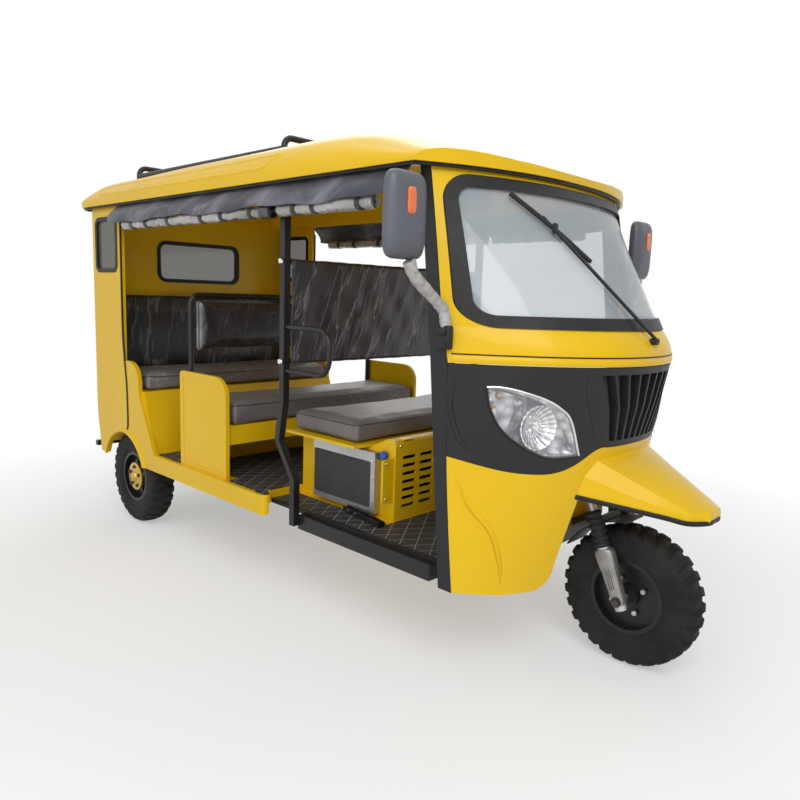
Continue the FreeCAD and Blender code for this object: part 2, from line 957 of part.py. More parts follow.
def innerMudguard():
    # a curved strip over the top and rear of the front tyre, with a lug at each fork leg
    inner = (size.tyre_radius + size.guard_gap).value
    wall = size.guard_wall.value
    half = size.guard_half_width.value
    first, last = math.radians(size.guard_start.value), math.radians(size.guard_end.value)
    edges = []
    corners = []
    for radius in (inner, inner + wall):
        spots = []
        for turn in (first, (first + last) / 2, last):
            spots.append(axle_spot + FreeCAD.Vector(radius * math.cos(turn), -half, radius * math.sin(turn)))
        edges.append(Part.Arc(*spots).toShape())
        corners.append(spots)
    edges.insert(1, Part.LineSegment(corners[0][2], corners[1][2]).toShape())
    edges.append(Part.LineSegment(corners[1][0], corners[0][0]).toShape())
    guard = Part.Face(Part.Wire(Part.__sortEdges__(edges))).extrude(FreeCAD.Vector(0, half * 2, 0))
    reach = (size.leg_half_gap - size.gaiter_radius - size.running_gap).value
    depth = size.gaiter_radius.value
    rib_pitch = (size.gaiter_length / size.gaiter_ribs).value
    lug = Part.makeBox(depth, reach * 2, rib_pitch, FreeCAD.Vector(-depth / 2, -reach, inner + wall / 2))
    lug.Placement = FreeCAD.Placement(axle_spot, FreeCAD.Rotation(FreeCAD.Vector(0, 1, 0), -size.rake.value))
    keep(feature("guard_built", guard.fuse(lug).removeSplitter()), "inner_mudguard")


innerMudguard()


# Front of the cab: one curved form, split into panels where the real ones meet.
# Three lofts stand on each other: up to the belt, up to the windscreen, and up to the roof.
# Each row gives a share of that loft's height, of the nose's reach and of the set-back at the sides.

ARCH_SHARE = ((0.70, 0.76), (0.915, 0.60), (0.955, 0.25))
FRONT_LOWER_SHARE = ((0.0, -0.46, 0.52), (0.333, -0.29, 0.70), (0.667, -0.12, 0.86), (1.0, 0.07, 1.0))
FRONT_WAIST_SHARE = ((0.0, 0.07, 1.0), (0.5, 0.05, 1.02), (1.0, -0.11, 0.96))
FRONT_UPPER_SHARE = ((0.0, -0.11, 0.96), (0.5, -0.70, 0.67), (1.0, -1.33, 0.37))
front_reach = (size.post_head_back + size.post_foot_back) / 2
front_lofts = (
    (size.nose_low, size.belt, FRONT_LOWER_SHARE),
    (size.belt, size.screen_low, FRONT_WAIST_SHARE),
    (size.screen_low, size.roof_low, FRONT_UPPER_SHARE),
)


def levelCurve(height, middle, setback, inset, back):
    # x = middle - setback * |y / half width| ** power, closed behind by a straight line
    power = size.front_curve_power.value
    half = size.front_half_width.value - inset
    centre = front_axle.value + middle * size.nose_reach.value - inset
    depth = setback * front_reach.value
    points = []
    for step in range(-6, 7):
        share = step / 6.0
        points.append(FreeCAD.Vector(centre - depth * abs(share) ** power, half * share, height))
    first = points[0]
    last = points[-1]
    rear = back + inset
    corners = [last, last - FreeCAD.Vector(rear, 0, 0), first - FreeCAD.Vector(rear, 0, 0), first]
    edges = [evenCurve(points).toShape()]
    if rear > 0:
        edges.append(Part.LineSegment(corners[0], corners[1]).toShape())
        edges.append(Part.LineSegment(corners[1], corners[2]).toShape())
        edges.append(Part.LineSegment(corners[2], corners[3]).toShape())
    else:
        edges.append(Part.LineSegment(last, first).toShape())
    return Part.Wire(edges)


def frontLoft(level, inset=0.0, back=0.0):
    low, high, rows = front_lofts[level]
    wires = []
    for up, middle, setback in rows:
        height = low.value + up * (high - low).value
        wires.append(levelCurve(height, middle, setback, inset, back))
    return Part.makeLoft(wires, True, False)


def frontSolid(inset=0.0, back=0.0):
    lofts = [frontLoft(level, inset, back) for level in range(3)]
    return lofts[0].multiFuse(lofts[1:])


def frontPrism(points):
    # a front-view outline of straight and rounded edges, carried through the cab front
    return throughFront(wireThrough(points))


def wireThrough(points):
    # a closed wire in the YZ plane; a corner with a third value is rounded to that radius
    count = len(points)
    flat = [(asSize(p[0]).value, asSize(p[1]).value) for p in points]
    radii = [asSize(p[2]).value if len(p) > 2 else 0 for p in points]
    edges = []
    ends = []
    for index in range(count):
        if radii[index] > 0:
            arc = roundedCorner(flat[index - 1], flat[index], flat[(index + 1) % count], radii[index])
            ends.append([FreeCAD.Vector(0, p.x, p.y) for p in arc[:3]])
        else:
            here = FreeCAD.Vector(0, *flat[index])
            ends.append([here, None, here])
    for index in range(count):
        start, middle, end = ends[index]
        if middle is not None:
            edges.append(Part.Arc(start, middle, end).toShape())
        following = ends[(index + 1) % count][0]
        if (following - end).Length > 1e-6:
            edges.append(Part.LineSegment(end, following).toShape())
    return Part.Wire(edges)


far = size.front_half_width + size.overrun
front_outer = frontSolid()
front_inner = frontSolid(size.front_wall.value, size.overrun.value)

screen_outline = rectangle(
    -size.screen_half_width, size.screen_low, size.screen_half_width, size.screen_top, size.screen_round
)
screen_hole = rectangle(
    -size.screen_half_width + size.screen_seal,
    size.screen_low + size.screen_seal,
    size.screen_half_width - size.screen_seal,
    size.screen_top - size.screen_seal,
    size.screen_round - size.screen_seal,
)
LAMP_UPPER_SHARE = (
    (0.876, 0.767),
    (0.832, 0.771),
    (0.760, 0.729),
    (0.660, 0.635),
    (0.590, 0.526),
    (0.527, 0.357),
    (0.452, -0.105),
)
LAMP_LOWER_SHARE = (
    (0.452, -0.105),
    (0.597, -0.124),
    (0.683, -0.045),
    (0.757, 0.083),
    (0.819, 0.256),
    (0.859, 0.504),
    (0.876, 0.767),
)
MASK_SHARE = (
    (1.000, -0.075),
    (0.883, -0.237),
    (0.786, -0.305),
    (0.678, -0.342),
    (0.575, -0.338),
    (0.484, -0.267),
    (0.406, -0.147),
    (0.340, -0.045),
    (0.270, -0.030),
)
grille_height = size.grille_top - size.grille_low


def onMask(share):
    return (size.front_half_width * share[0], size.grille_low + grille_height * share[1])


def throughFront(wire):
    # a closed outline in the YZ plane, carried through the cab front along X
    reach = (size.nose_reach + front_reach + size.overrun * 2).value
    wire.translate(FreeCAD.Vector(front_axle.value - reach, 0, 0))
    return Part.Face(wire).extrude(FreeCAD.Vector(reach * 2, 0, 0))


def smoothRun(points):
    curve = Part.BSplineCurve()
    curve.interpolate([FreeCAD.Vector(0, *[asSize(value).value for value in point]) for point in points])
    return curve.toShape()


def lampPrism():
    # two curves that meet in a sharp corner at the top outside and at the bottom inside
    upper = smoothRun([onMask(share) for share in LAMP_UPPER_SHARE])
    lower = smoothRun([onMask(share) for share in LAMP_LOWER_SHARE])
    return throughFront(Part.Wire([upper, lower]))


def maskRegion(above):
    # the part of the front above or below the mask's curved lower edge
    points = [onMask(share) for share in MASK_SHARE]
    spots = [FreeCAD.Vector(0, (far if i == 0 else p[0]).value, p[1].value) for i, p in enumerate(points)]
    curve = Part.BSplineCurve()
    curve.interpolate(spots)
    mirrored_curve = Part.BSplineCurve()
    mirrored_curve.interpolate([FreeCAD.Vector(0, -p.y, p.z) for p in reversed(spots)])
    edges = [curve.toShape()]
    edges.append(Part.LineSegment(spots[-1], FreeCAD.Vector(0, -spots[-1].y, spots[-1].z)).toShape())
    edges.append(mirrored_curve.toShape())
    level = (size.belt if above else size.nose_low - size.overrun).value
    low_left = FreeCAD.Vector(0, -far.value, spots[0].z)
    top_left = FreeCAD.Vector(0, -far.value, level)
    top_right = FreeCAD.Vector(0, far.value, level)
    edges.append(Part.LineSegment(low_left, top_left).toShape())
    edges.append(Part.LineSegment(top_left, top_right).toShape())
    edges.append(Part.LineSegment(top_right, spots[0]).toShape())
    return throughFront(Part.Wire(edges))


def frontCowl():
    top = size.roof_low
    cowl_low = size.belt + size.belt_groove
    region = frontPrism([(far, cowl_low), (far, top), (-far, top), (-far, cowl_low)])
    panel = front_outer.common(region).cut([frontPrism(screen_outline), front_inner])
    keep(feature("cowl_built", panel), "front_cowl")


def windscreen():
    # the seal and the pane follow the same curved surface, moved forwards or back
    surface = frontLoft(2, 0.0, size.overrun.value)

    def moved(distance):
        result = surface.copy()
        result.translate(FreeCAD.Vector(distance.value, 0, 0))
        return result

    hole = frontPrism(screen_hole)
    ring = frontPrism(screen_outline).cut(hole).common(moved(size.screen_seal_proud))
    ring = ring.cut(moved(-size.screen_seal_depth))
    seat = size.screen_seal_proud
    glass = hole.common(moved(-seat)).cut(moved(-seat - size.glass))
    return ring, glass


grille_outline = [
    (size.grille_top_half, size.grille_top, size.grille_frame / 2),
    (-size.grille_top_half, size.grille_top, size.grille_frame / 2),
    (-size.grille_low_half, size.grille_low, size.grille_frame / 2),
    (size.grille_low_half, size.grille_low, size.grille_frame / 2),
]


def headlampBand():
    lamp = lampPrism()
    panel = front_outer.common(maskRegion(True))
    panel = panel.cut([lamp, bothSides(lamp), frontPrism(grille_outline), front_inner])
    keep(feature("band_built", panel), "headlamp_band")
    left = frontLoft(0).common(lamp).cut(frontLoft(0, size.lamp_depth.value, size.overrun.value))
    keep(feature("lamps_built", Part.Compound([left, bothSides(left)])), "headlamps")


def grille():
    # one moulding: the windows between its slats kink half-way down, as the slats do
    inset = size.grille_frame
    middle = (size.grille_top + size.grille_low) / 2
    high = size.grille_top - inset
    low = size.grille_low + inset
    half = size.slat_wall / 2
    count = int(size.slat_count.value)
    blank = frontPrism(grille_outline)
    windows = []
    for index in range(count + 1):
        edges = []
        for place, side in ((index, 1), (index + 1, -1)):
            share = place / (count + 1.0) * 2 - 1
            top_y = (size.grille_top_half - inset) * share + half * side
            low_y = (size.grille_low_half - inset) * share + half * side
            edges.append((top_y, (top_y + low_y) / 2 + size.slat_kink, low_y))
        left, right = edges
        corners = [(left[0], high), (right[0], high), (right[1], middle)]
        corners.extend([(right[2], low), (left[2], low), (left[1], middle)])
        windows.append(frontPrism(corners))
    blank = blank.cut(windows)
    back = frontLoft(0, size.grille_depth.value, size.overrun.value)
    keep(feature("grille_built", frontLoft(0).common(blank).cut(back)), "grille")


def frontApron():
    # the arch starts inside the beak's root, drops beside the wheel and turns into the lower edge
    low = size.nose_low
    below = low - size.overrun
    half = [(size.beak_half * wide, size.beak_low + size.beak_height * high) for wide, high in ARCH_SHARE]
    half.append((size.arch_foot_half, size.arch_foot))
    half.append((size.arch_foot_half + size.arch_foot_spread, low, size.arch_foot_round))
    half.append((size.front_half_width - size.front_inset * 4, low, size.arch_foot_round))
    half.append((far, low + size.apron_flick))
    half.append((far, below))
    other = [(-corner[0],) + tuple(corner[1:]) for corner in reversed(half)]
    panel = front_outer.common(maskRegion(False)).cut([frontPrism(half + other), front_inner])
    keep(feature("apron_built", panel), "front_apron")


frontCowl()
windscreen_seal, windscreen_pane = windscreen()
headlampBand()
grille()
frontApron()


# Stations of the beak: the share along it, then half width and height of its low edge,
# of the crease below and of the crease beside its top, and how far its top is crowned.

BEAK_SHARE = (
    (-0.130, 1.084, 0.263, 1.052, 0.737, 0.891, 1.125, 0.115),
    (0.000, 1.000, 0.230, 0.969, 0.649, 0.827, 1.000, 0.131),
    (0.409, 0.735, 0.126, 0.712, 0.372, 0.627, 0.607, 0.183),
    (0.698, 0.546, 0.052, 0.527, 0.204, 0.485, 0.346, 0.157),
    (0.872, 0.431, 0.000, 0.412, 0.131, 0.400, 0.188, 0.094),
    (1.000, 0.192, 0.000, 0.181, 0.099, 0.154, 0.178, 0.031),
)


def beakSection(row, inset):
    # straight flanks with two creases on each side, and a crowned top
    along, low_half, low, mid_half, mid, top_half, top, crown = row
    length = (size.nose_reach + size.beak_root).value
    half = size.beak_half.value
    rise = size.beak_height.value
    x = (front_axle - size.beak_root).value + along * length - inset
    foot = size.beak_low.value + low * rise - inset * size.overrun.value / size.beak_wall.value

    def spot(wide, high, side):
        return FreeCAD.Vector(x, (half * wide - inset) * side, size.beak_low.value + high * rise - inset)

    left = [FreeCAD.Vector(x, half * low_half - inset, foot), spot(mid_half, mid, 1), spot(top_half, top, 1)]
    right = [FreeCAD.Vector(x, -point.y, point.z) for point in reversed(left)]
    peak = FreeCAD.Vector(x, 0, left[2].z + crown * rise)
    edges = [Part.LineSegment(left[0], left[1]).toShape(), Part.LineSegment(left[1], left[2]).toShape()]
    edges.append(Part.Arc(left[2], peak, right[0]).toShape())
    edges.append(Part.LineSegment(right[0], right[1]).toShape())
    edges.append(Part.LineSegment(right[1], right[2]).toShape())
    edges.append(Part.LineSegment(right[2], left[0]).toShape())
    return Part.Wire(edges)


def beak():
    # faceted mudguard fixed to the nose, hollow below, from the cab front to its blunt tip
    outer = Part.makeLoft([beakSection(row, 0.0) for row in BEAK_SHARE], True, True)
    inner = Part.makeLoft([beakSection(row, size.beak_wall.value) for row in BEAK_SHARE], True, True)
    clear = frontSolid(0.0, size.nose_reach.value)
    keep(feature("beak_built", outer.cut([inner, clear])), "front_fender")


beak()


# Posts beside the driver's doorway

def sideOfFront(level, row):
    # where the side edge of the cab front lies at one row of a loft
    low, high, rows = front_lofts[level]
    up, middle, setback = rows[row]
    x = front_axle + size.nose_reach * middle - front_reach * setback - size.post_gap
    return (x, low + (high - low) * up)


def frontPosts():
    # the front edge follows the cab front, the rear edge bellies at the waist
    low = size.sill_low - size.wall
    foot_x = sideOfFront(0, 0)[0]
    head_x = sideOfFront(2, 2)[0]
    belly_x = sideOfFront(0, 3)[0]
    corners = [(foot_x, low)]
    corners.extend([sideOfFront(0, 1), sideOfFront(0, 2), sideOfFront(0, 3)])
    corners.extend([sideOfFront(2, 0), sideOfFront(2, 1), (head_x, size.roof_low)])
    corners.append((head_x - size.post_head_width, size.roof_low))
    corners.append((belly_x - size.post_waist_width, size.belt))
    corners.append((foot_x - size.post_foot_width, low))
    left = makePad("post_left", "XZ_Plane", corners, size.post_wall, (0, size.front_half_width, 0))
    keep(together("posts_built", [left, mirrored("post_right", left)]), "front_posts")


frontPosts()


# Floors, sills and mats

def wheelRoom(name):
    # the space that the rear wheels need, through whatever body panel it meets
    inner = size.rear_half_track - size.tyre_width / 2 - size.wall
    length = size.body_half_width - size.sheet - inner
    left = makeCylinder(
        name + "_left", size.wheel_room, length, (rear_axle, inner, size.tyre_radius), (0, 1, 0)
    )
    return together(name, [left, mirrored(name + "_right", left)])


def floorPan():
    half = size.body_half_width - size.wall
    sheet_low = size.floor_top - size.sheet
    rear_x = behind(size.quarter_back - size.wall)
    front_x = behind(size.floor_front_back)
    step_low = size.step_top - size.sheet
    step_end = behind(size.step_front_back)
    inner = size.front_half_width - size.post_wall
    pieces = [
        makeBox("pan_rear", (rear_x, -half, sheet_low), (front_x, half, size.floor_top)),
        makeBox("pan_riser", (front_x - size.sheet, -inner, step_low), (front_x, inner, size.floor_top)),
        makeBox("pan_step", (front_x - size.sheet, -inner, step_low), (step_end, inner, size.step_top)),
        makeBox("pan_toe", (step_end - size.sheet, -inner, step_low), (step_end, inner, size.toe_board_top)),
    ]
    sill_rear = behind(size.quarter_sill_back)
    sill_front = behind(size.sill_front_back)
    sill = makeBox(
        "pan_sill",
        (sill_rear, half, size.sill_low),
        (sill_front, size.body_half_width, size.floor_top + size.mat),
    )
    pieces.extend([sill, mirrored("pan_sill_right", sill)])
    pan = cut("pan_cut", fuse("pan_joined", pieces), wheelRoom("pan_wheel_room"))
    keep(pan, "floor_pan")
    mat_low = size.floor_top
    mat_high = mat_low + size.mat
    gap = size.mat_gap
    rear_mat = makeBox(
        "mat_rear",
        (behind(size.bench_front_back) + size.bench_slope + gap, -half + gap, mat_low),
        (behind(size.seat_rear_back) - gap, half - gap, mat_high),
    )
    middle_mat = makeBox(
        "mat_middle",
        (behind(size.seat_front_back) + gap, -half + gap, mat_low),
        (front_x - gap, half - gap, mat_high),
    )
    driver_mat = makeBox(
        "mat_driver",
        (behind(size.cover_front_back) + gap, -inner + gap, size.step_top),
        (step_end - size.sheet - gap, inner - gap, size.step_top + size.mat),
    )
    keep(together("mats_built", [rear_mat, middle_mat, driver_mat]), "floor_mats")


floorPan()


# Rear body

def quarterPanel():
    rear = behind(size.quarter_back)
    front = behind(size.quarter_front_back)
    sill_x = behind(size.quarter_sill_back)
    cheek_x = behind(size.cheek_front_back)
    corners = [
        (rear + size.overrun, size.quarter_low),
        (sill_x, size.sill_low),
        (sill_x, size.floor_top + size.mat),
        (cheek_x, size.cheek_low),
        (cheek_x, size.cheek_top, size.cheek_round),
        (front, size.cheek_top),
        (front, size.roof_low),
        (rear, size.roof_low),
        (rear, size.quarter_low + size.overrun * 6),
    ]
    blank = makePad("quarter_blank", "XZ_Plane", corners, size.wall, (0, size.body_half_width, 0))
    arch_x = rear_axle - size.arch_shift
    arch_z = size.tyre_radius + size.arch_rise
    arch = makeCylinder(
        "quarter_arch",
        size.arch_radius,
        size.wall * 4,
        (arch_x, size.body_half_width - size.wall * 2, arch_z),
        (0, 1, 0),
    )
    lip_section = [
        (size.arch_radius, -size.sheet / 2),
        (size.arch_radius + size.arch_lip, -size.sheet / 2),
        (size.arch_radius + size.arch_lip, 0),
        (size.arch_radius + size.arch_lip / 3, size.arch_flare),
        (size.arch_radius, size.arch_flare),
    ]
    lip_ring = makeRevolution("quarter_lip_ring", lip_section, (arch_x, size.body_half_width, arch_z))
    lip_room = makeBox(
        "quarter_lip_room",
        (rear, size.body_half_width - size.wall, size.sill_low),
        (sill_x, size.body_half_width + size.arch_flare, size.cheek_low),
    )
    lip = common("quarter_lip", lip_ring, lip_room)
    low = size.side_window_low
    x = behind(size.side_window_back) - size.side_window_width / 2
    window = rectangle(
        x, low, x + size.side_window_width, low + size.side_window_height, size.side_window_round
    )
    hole = makePad(
        "quarter_window", "XZ_Plane", window, size.wall * 3, (0, size.body_half_width + size.wall, 0)
    )
    inner = cut("quarter_room", blank, wheelRoom("quarter_wheel_room"))
    holed = cut("quarter_holed", cut("quarter_arched", inner, arch), hole)
    left = fuse("quarter_left", [holed, lip])
    right = mirrored("quarter_right", left)
    keep(left, "quarter_panel_left")
    keep(right, "quarter_panel_right")


def rearPanel():
    half = size.body_half_width - size.wall
    rear = behind(size.quarter_back)
    low = size.rail_top
    plate = makeBox("rear_blank", (rear, -half, low), (rear + size.wall, half, size.roof_low))
    window = rectangle(
        -size.rear_window_half,
        size.rear_window_low,
        size.rear_window_half,
        size.rear_window_low + size.rear_window_height,
        size.rear_window_round,
    )
    hole = makePad("rear_window", "YZ_Plane", window, size.wall * 3, (rear - size.wall, 0, 0))
    keep(cut("rear_built", plate, hole), "rear_panel")


quarterPanel()
rearPanel()


def windowParts():
    # rubber seals that stand proud of the walls, and the panes that they hold
    wall = size.wall + size.seal_proud * 2
    pane_low = size.side_window_low
    x = behind(size.side_window_back) - size.side_window_width / 2
    outer = rectangle(
        x, pane_low, x + size.side_window_width, pane_low + size.side_window_height, size.side_window_round
    )
    inset = size.seal_width
    inner = rectangle(
        x + inset,
        pane_low + inset,
        x + size.side_window_width - inset,
        pane_low + size.side_window_height - inset,
        size.side_window_round - inset,
    )
    face = size.body_half_width + size.seal_proud
    seal = cut(
        "side_seal",
        makePad("side_seal_outer", "XZ_Plane", outer, wall, (0, face, 0)),
        makePad("side_seal_inner", "XZ_Plane", inner, wall * 3, (0, face + wall, 0)),
    )
    middle = size.body_half_width - size.wall / 2 + size.glass / 2
    pane = makePad("side_pane", "XZ_Plane", inner, size.glass, (0, middle, 0))
    rear = behind(size.quarter_back)
    low = size.rear_window_low
    high = low + size.rear_window_height
    half = size.rear_window_half
    back_outer = rectangle(-half, low, half, high, size.rear_window_round)
    back_inner = rectangle(
        -half + inset, low + inset, half - inset, high - inset, size.rear_window_round - inset
    )
    back_seal = cut(
        "back_seal",
        makePad("back_seal_outer", "YZ_Plane", back_outer, wall, (rear - size.seal_proud, 0, 0)),
        makePad("back_seal_inner", "YZ_Plane", back_inner, wall * 3, (rear - wall, 0, 0)),
    )
    back_pane = makePad(
        "back_pane", "YZ_Plane", back_inner, size.glass, (rear + size.wall / 2 - size.glass / 2, 0, 0)
    )
    seals = [seal, mirrored("side_seal_right", seal), back_seal]
    seals.append(feature("screen_seal_built", windscreen_seal))
    keep(together("seals_built", seals), "window_seals")
    panes = [pane, mirrored("side_pane_right", pane), back_pane]
    panes.append(feature("screen_pane_built", windscreen_pane))
    keep(together("panes_built", panes), "cabin_glass")


windowParts()


# Roof: level at its lower edge, crowned above, with a curved front edge over the windscreen.
# Stations give the place along the roof and the crown's height there, and the section gives its round.

ROOF_STATIONS_SHARE = (
    (0.000, 0.50),
    (0.030, 0.74),
    (0.120, 0.90),
    (0.350, 0.97),
    (0.600, 1.00),
    (0.740, 1.00),
    (0.800, 0.91),
    (0.860, 0.70),
    (0.930, 0.40),
    (1.000, 0.11),
)
ROOF_SECTION_SHARE = (
    (1.000, 0.00),
    (0.992, 0.24),
    (0.955, 0.45),
    (0.880, 0.65),
    (0.760, 0.80),
    (0.580, 0.905),
    (0.320, 0.97),
    (0.000, 1.00),
)
ROOF_CROWN_SHARE = 0.300


def roofSolid(inset):
    length = (size.roof_rear_back - size.roof_nose_back).value
    crown = size.roof_half_width.value * ROOF_CROWN_SHARE
    half = size.roof_half_width.value - inset
    start = behind(size.roof_rear_back).value
    low = size.roof_low.value
    wires = []
    for along, rise in ROOF_STATIONS_SHARE:
        x = start + length * along
        height = crown * rise - inset
        rise = max(height, 0.1)
        side = [FreeCAD.Vector(x, half * s, low + rise * share) for s, share in ROOF_SECTION_SHARE]
        other = [FreeCAD.Vector(x, -point.y, point.z) for point in reversed(side[:-1])]
        points = side + other
        curve = evenCurve(points)
        wires.append(Part.Wire([curve.toShape(), Part.LineSegment(points[-1], points[0]).toShape()]))
    return Part.makeLoft(wires, True, False)


def roofPlan(inset):
    # the plan: square behind with round corners, and the front edge on the same kind of curve as the cab
    half = size.roof_half_width.value - inset
    nose = behind(size.roof_nose_back).value - inset
    rear = behind(size.roof_rear_back).value + inset
    curve_depth = size.roof_nose_curve.value
    power = size.front_curve_power.value
    points = []
    for step in range(-8, 9):
        share = step / 8.0
        points.append(FreeCAD.Vector(nose - curve_depth * abs(share) ** power, half * share, 0))
    curve = Part.BSplineCurve()
    curve.interpolate(points)
    radius = size.roof_rear_round.value
    left = [FreeCAD.Vector(rear + radius, half, 0), FreeCAD.Vector(rear, half - radius, 0)]
    right = [FreeCAD.Vector(p.x, -p.y, 0) for p in left]
    reach = radius * (1 - math.sqrt(0.5))
    left_middle = FreeCAD.Vector(rear + reach, half - reach, 0)
    right_middle = FreeCAD.Vector(rear + reach, reach - half, 0)
    edges = [
        curve.toShape(),
        Part.LineSegment(points[-1], left[0]).toShape(),
        Part.Arc(left[0], left_middle, left[1]).toShape(),
        Part.LineSegment(left[1], right[1]).toShape(),
        Part.Arc(right[1], right_middle, right[0]).toShape(),
        Part.LineSegment(right[0], points[0]).toShape(),
    ]
    wire = Part.Wire(edges)
    wire.translate(FreeCAD.Vector(0, 0, size.roof_low.value - size.overrun.value))
    return Part.Face(wire).extrude(FreeCAD.Vector(0, 0, size.roof_half_width.value))


def roofShell():
    outer = roofSolid(0.0).common(roofPlan(0.0))
    hollow = roofSolid(size.roof_wall.value).common(roofPlan(size.roof_flange.value))
    shell = outer.cut(hollow)
    # a band stands proud along the eave, up to the crease
    proud = size.roof_band_proud.value
    around = roofSolid(-proud).common(roofPlan(-proud))
    low = size.roof_low.value
    room = around.BoundBox
    slab = Part.makeBox(
        room.XLength, room.YLength, size.roof_band.value, FreeCAD.Vector(room.XMin, room.YMin, low)
    )
    band = around.common(slab).cut(outer)
    keep(feature("roof_built", shell.fuse(band).removeSplitter()), "roof_shell")
    return outer


roof_outer = roofShell()


def roofHeight(x, y):
    # the height of the roof's outside above a place
    line = Part.makeLine(
        FreeCAD.Vector(x, y, size.roof_low.value - 1), FreeCAD.Vector(x, y, size.roof_low.value * 2)
    )
    return line.common(roof_outer).BoundBox.ZMax


def roofRack():
    # two side rails on feet, joined by a raised hoop at the front and the rear
    y = size.rack_half_width.value
    rear = behind(size.rack_rear_back).value
    front = behind(size.rack_front_back).value
    radius = size.rack_tube.value
    rise = size.rack_rise.value
    level = roofHeight((rear + front) / 2, y) + radius
    bend = size.rack_tube * 3
    solid = None
    hoop = level + size.rack_hoop_rise.value
    for x in (rear, front):
        path = [[x, y, level], [x, y, hoop], [x, -y, hoop], [x, -y, level]]
        arch = makeTube(path, size.rack_tube, bend)
        solid = arch if solid is None else solid.fuse(arch)
    for side in (1, -1):
        rail = Part.makeCylinder(
            radius, front - rear, FreeCAD.Vector(rear, y * side, level), FreeCAD.Vector(1, 0, 0)
        )
        solid = solid.fuse(rail)
        for index in range(4):
            x = rear + (front - rear) * index / 3.0
            foot_low = roofHeight(x, y)
            if level - foot_low > 1:
                foot = Part.makeCylinder(radius, level - foot_low, FreeCAD.Vector(x, y * side, foot_low))
                solid = solid.fuse(foot.cut(roof_outer))
    solid = solid.cut(roof_outer)
    keep(feature("rack_built", solid), "roof_rack")


roofRack()


# Middle posts with their rods and handles, and the hoop of the middle seat

def hoopFrames():
    tube = size.hoop_tube.value
    y = size.hoop_half_width.value
    top = size.roof_low.value
    low = size.sill_low.value
    line = [
        (behind(size.hoop_back).value, top),
        (behind(size.hoop_back).value, size.hoop_bend_height.value),
        (behind(size.hoop_kink_back).value, size.hoop_kink_height.value),
        (behind(size.hoop_knee_back).value, size.hoop_knee_height.value),
        (behind(size.hoop_knee_back).value, low),
    ]
    half = tube / 2
    front_edge = [FreeCAD.Vector(x + half, y + half, z) for x, z in line]
    rear_edge = [FreeCAD.Vector(x - half, y + half, z) for x, z in reversed(line)]
    wire = Part.makePolygon(front_edge + rear_edge + [front_edge[0]])
    post = Part.Face(wire).extrude(FreeCAD.Vector(0, -tube, 0))
    handle_x = behind(size.hoop_back).value
    reach = size.handle_reach.value
    handle = makeTube(
        [
            [handle_x, y, size.handle_high.value],
            [handle_x + reach, y, size.handle_high.value],
            [handle_x + reach, y, size.handle_low.value],
            [handle_x, y, size.handle_low.value],
        ],
        size.handle_radius,
        size.handle_round,
    )
    side = post.fuse(handle)
    rods = []
    for height in (size.rod_low, size.rod_high):
        rods.append(
            Part.makeCylinder(
                size.rod_radius.value,
                y * 2,
                FreeCAD.Vector(handle_x, -y, height.value),
                FreeCAD.Vector(0, 1, 0),
            )
        )
    frame = side.multiFuse([bothSides(side)] + rods).removeSplitter()
    back_y = (size.backrest_half + size.back_tube + size.soft_gap).value
    back_x = behind(size.backrest_back + size.backrest_wall / 2).value
    back_top = (size.backrest_low + size.backrest_height + size.back_tube + size.soft_gap).value
    foot = size.seat_box_top.value
    hoop = makeTube(
        [
            [back_x, back_y, foot],
            [back_x, back_y, back_top],
            [back_x, -back_y, back_top],
            [back_x, -back_y, foot],
        ],
        size.back_tube,
        size.cushion_round + size.back_tube + size.soft_gap,
    )
    keep(feature("hoops_built", Part.Compound([frame, hoop])), "hoop_frames")


hoopFrames()


# Seats

def cushion(name, low, high, radius=None):
    # a soft block with rounded upright corners
    outline = rectangle(low[0], low[1], high[0], high[1], radius or size.cushion_round)
    return keep(makePad(name + "_block", "XY_Plane", outline, high[2] - low[2], (0, 0, low[2])), name)


SLOT_ROUND_SHARE = 0.48


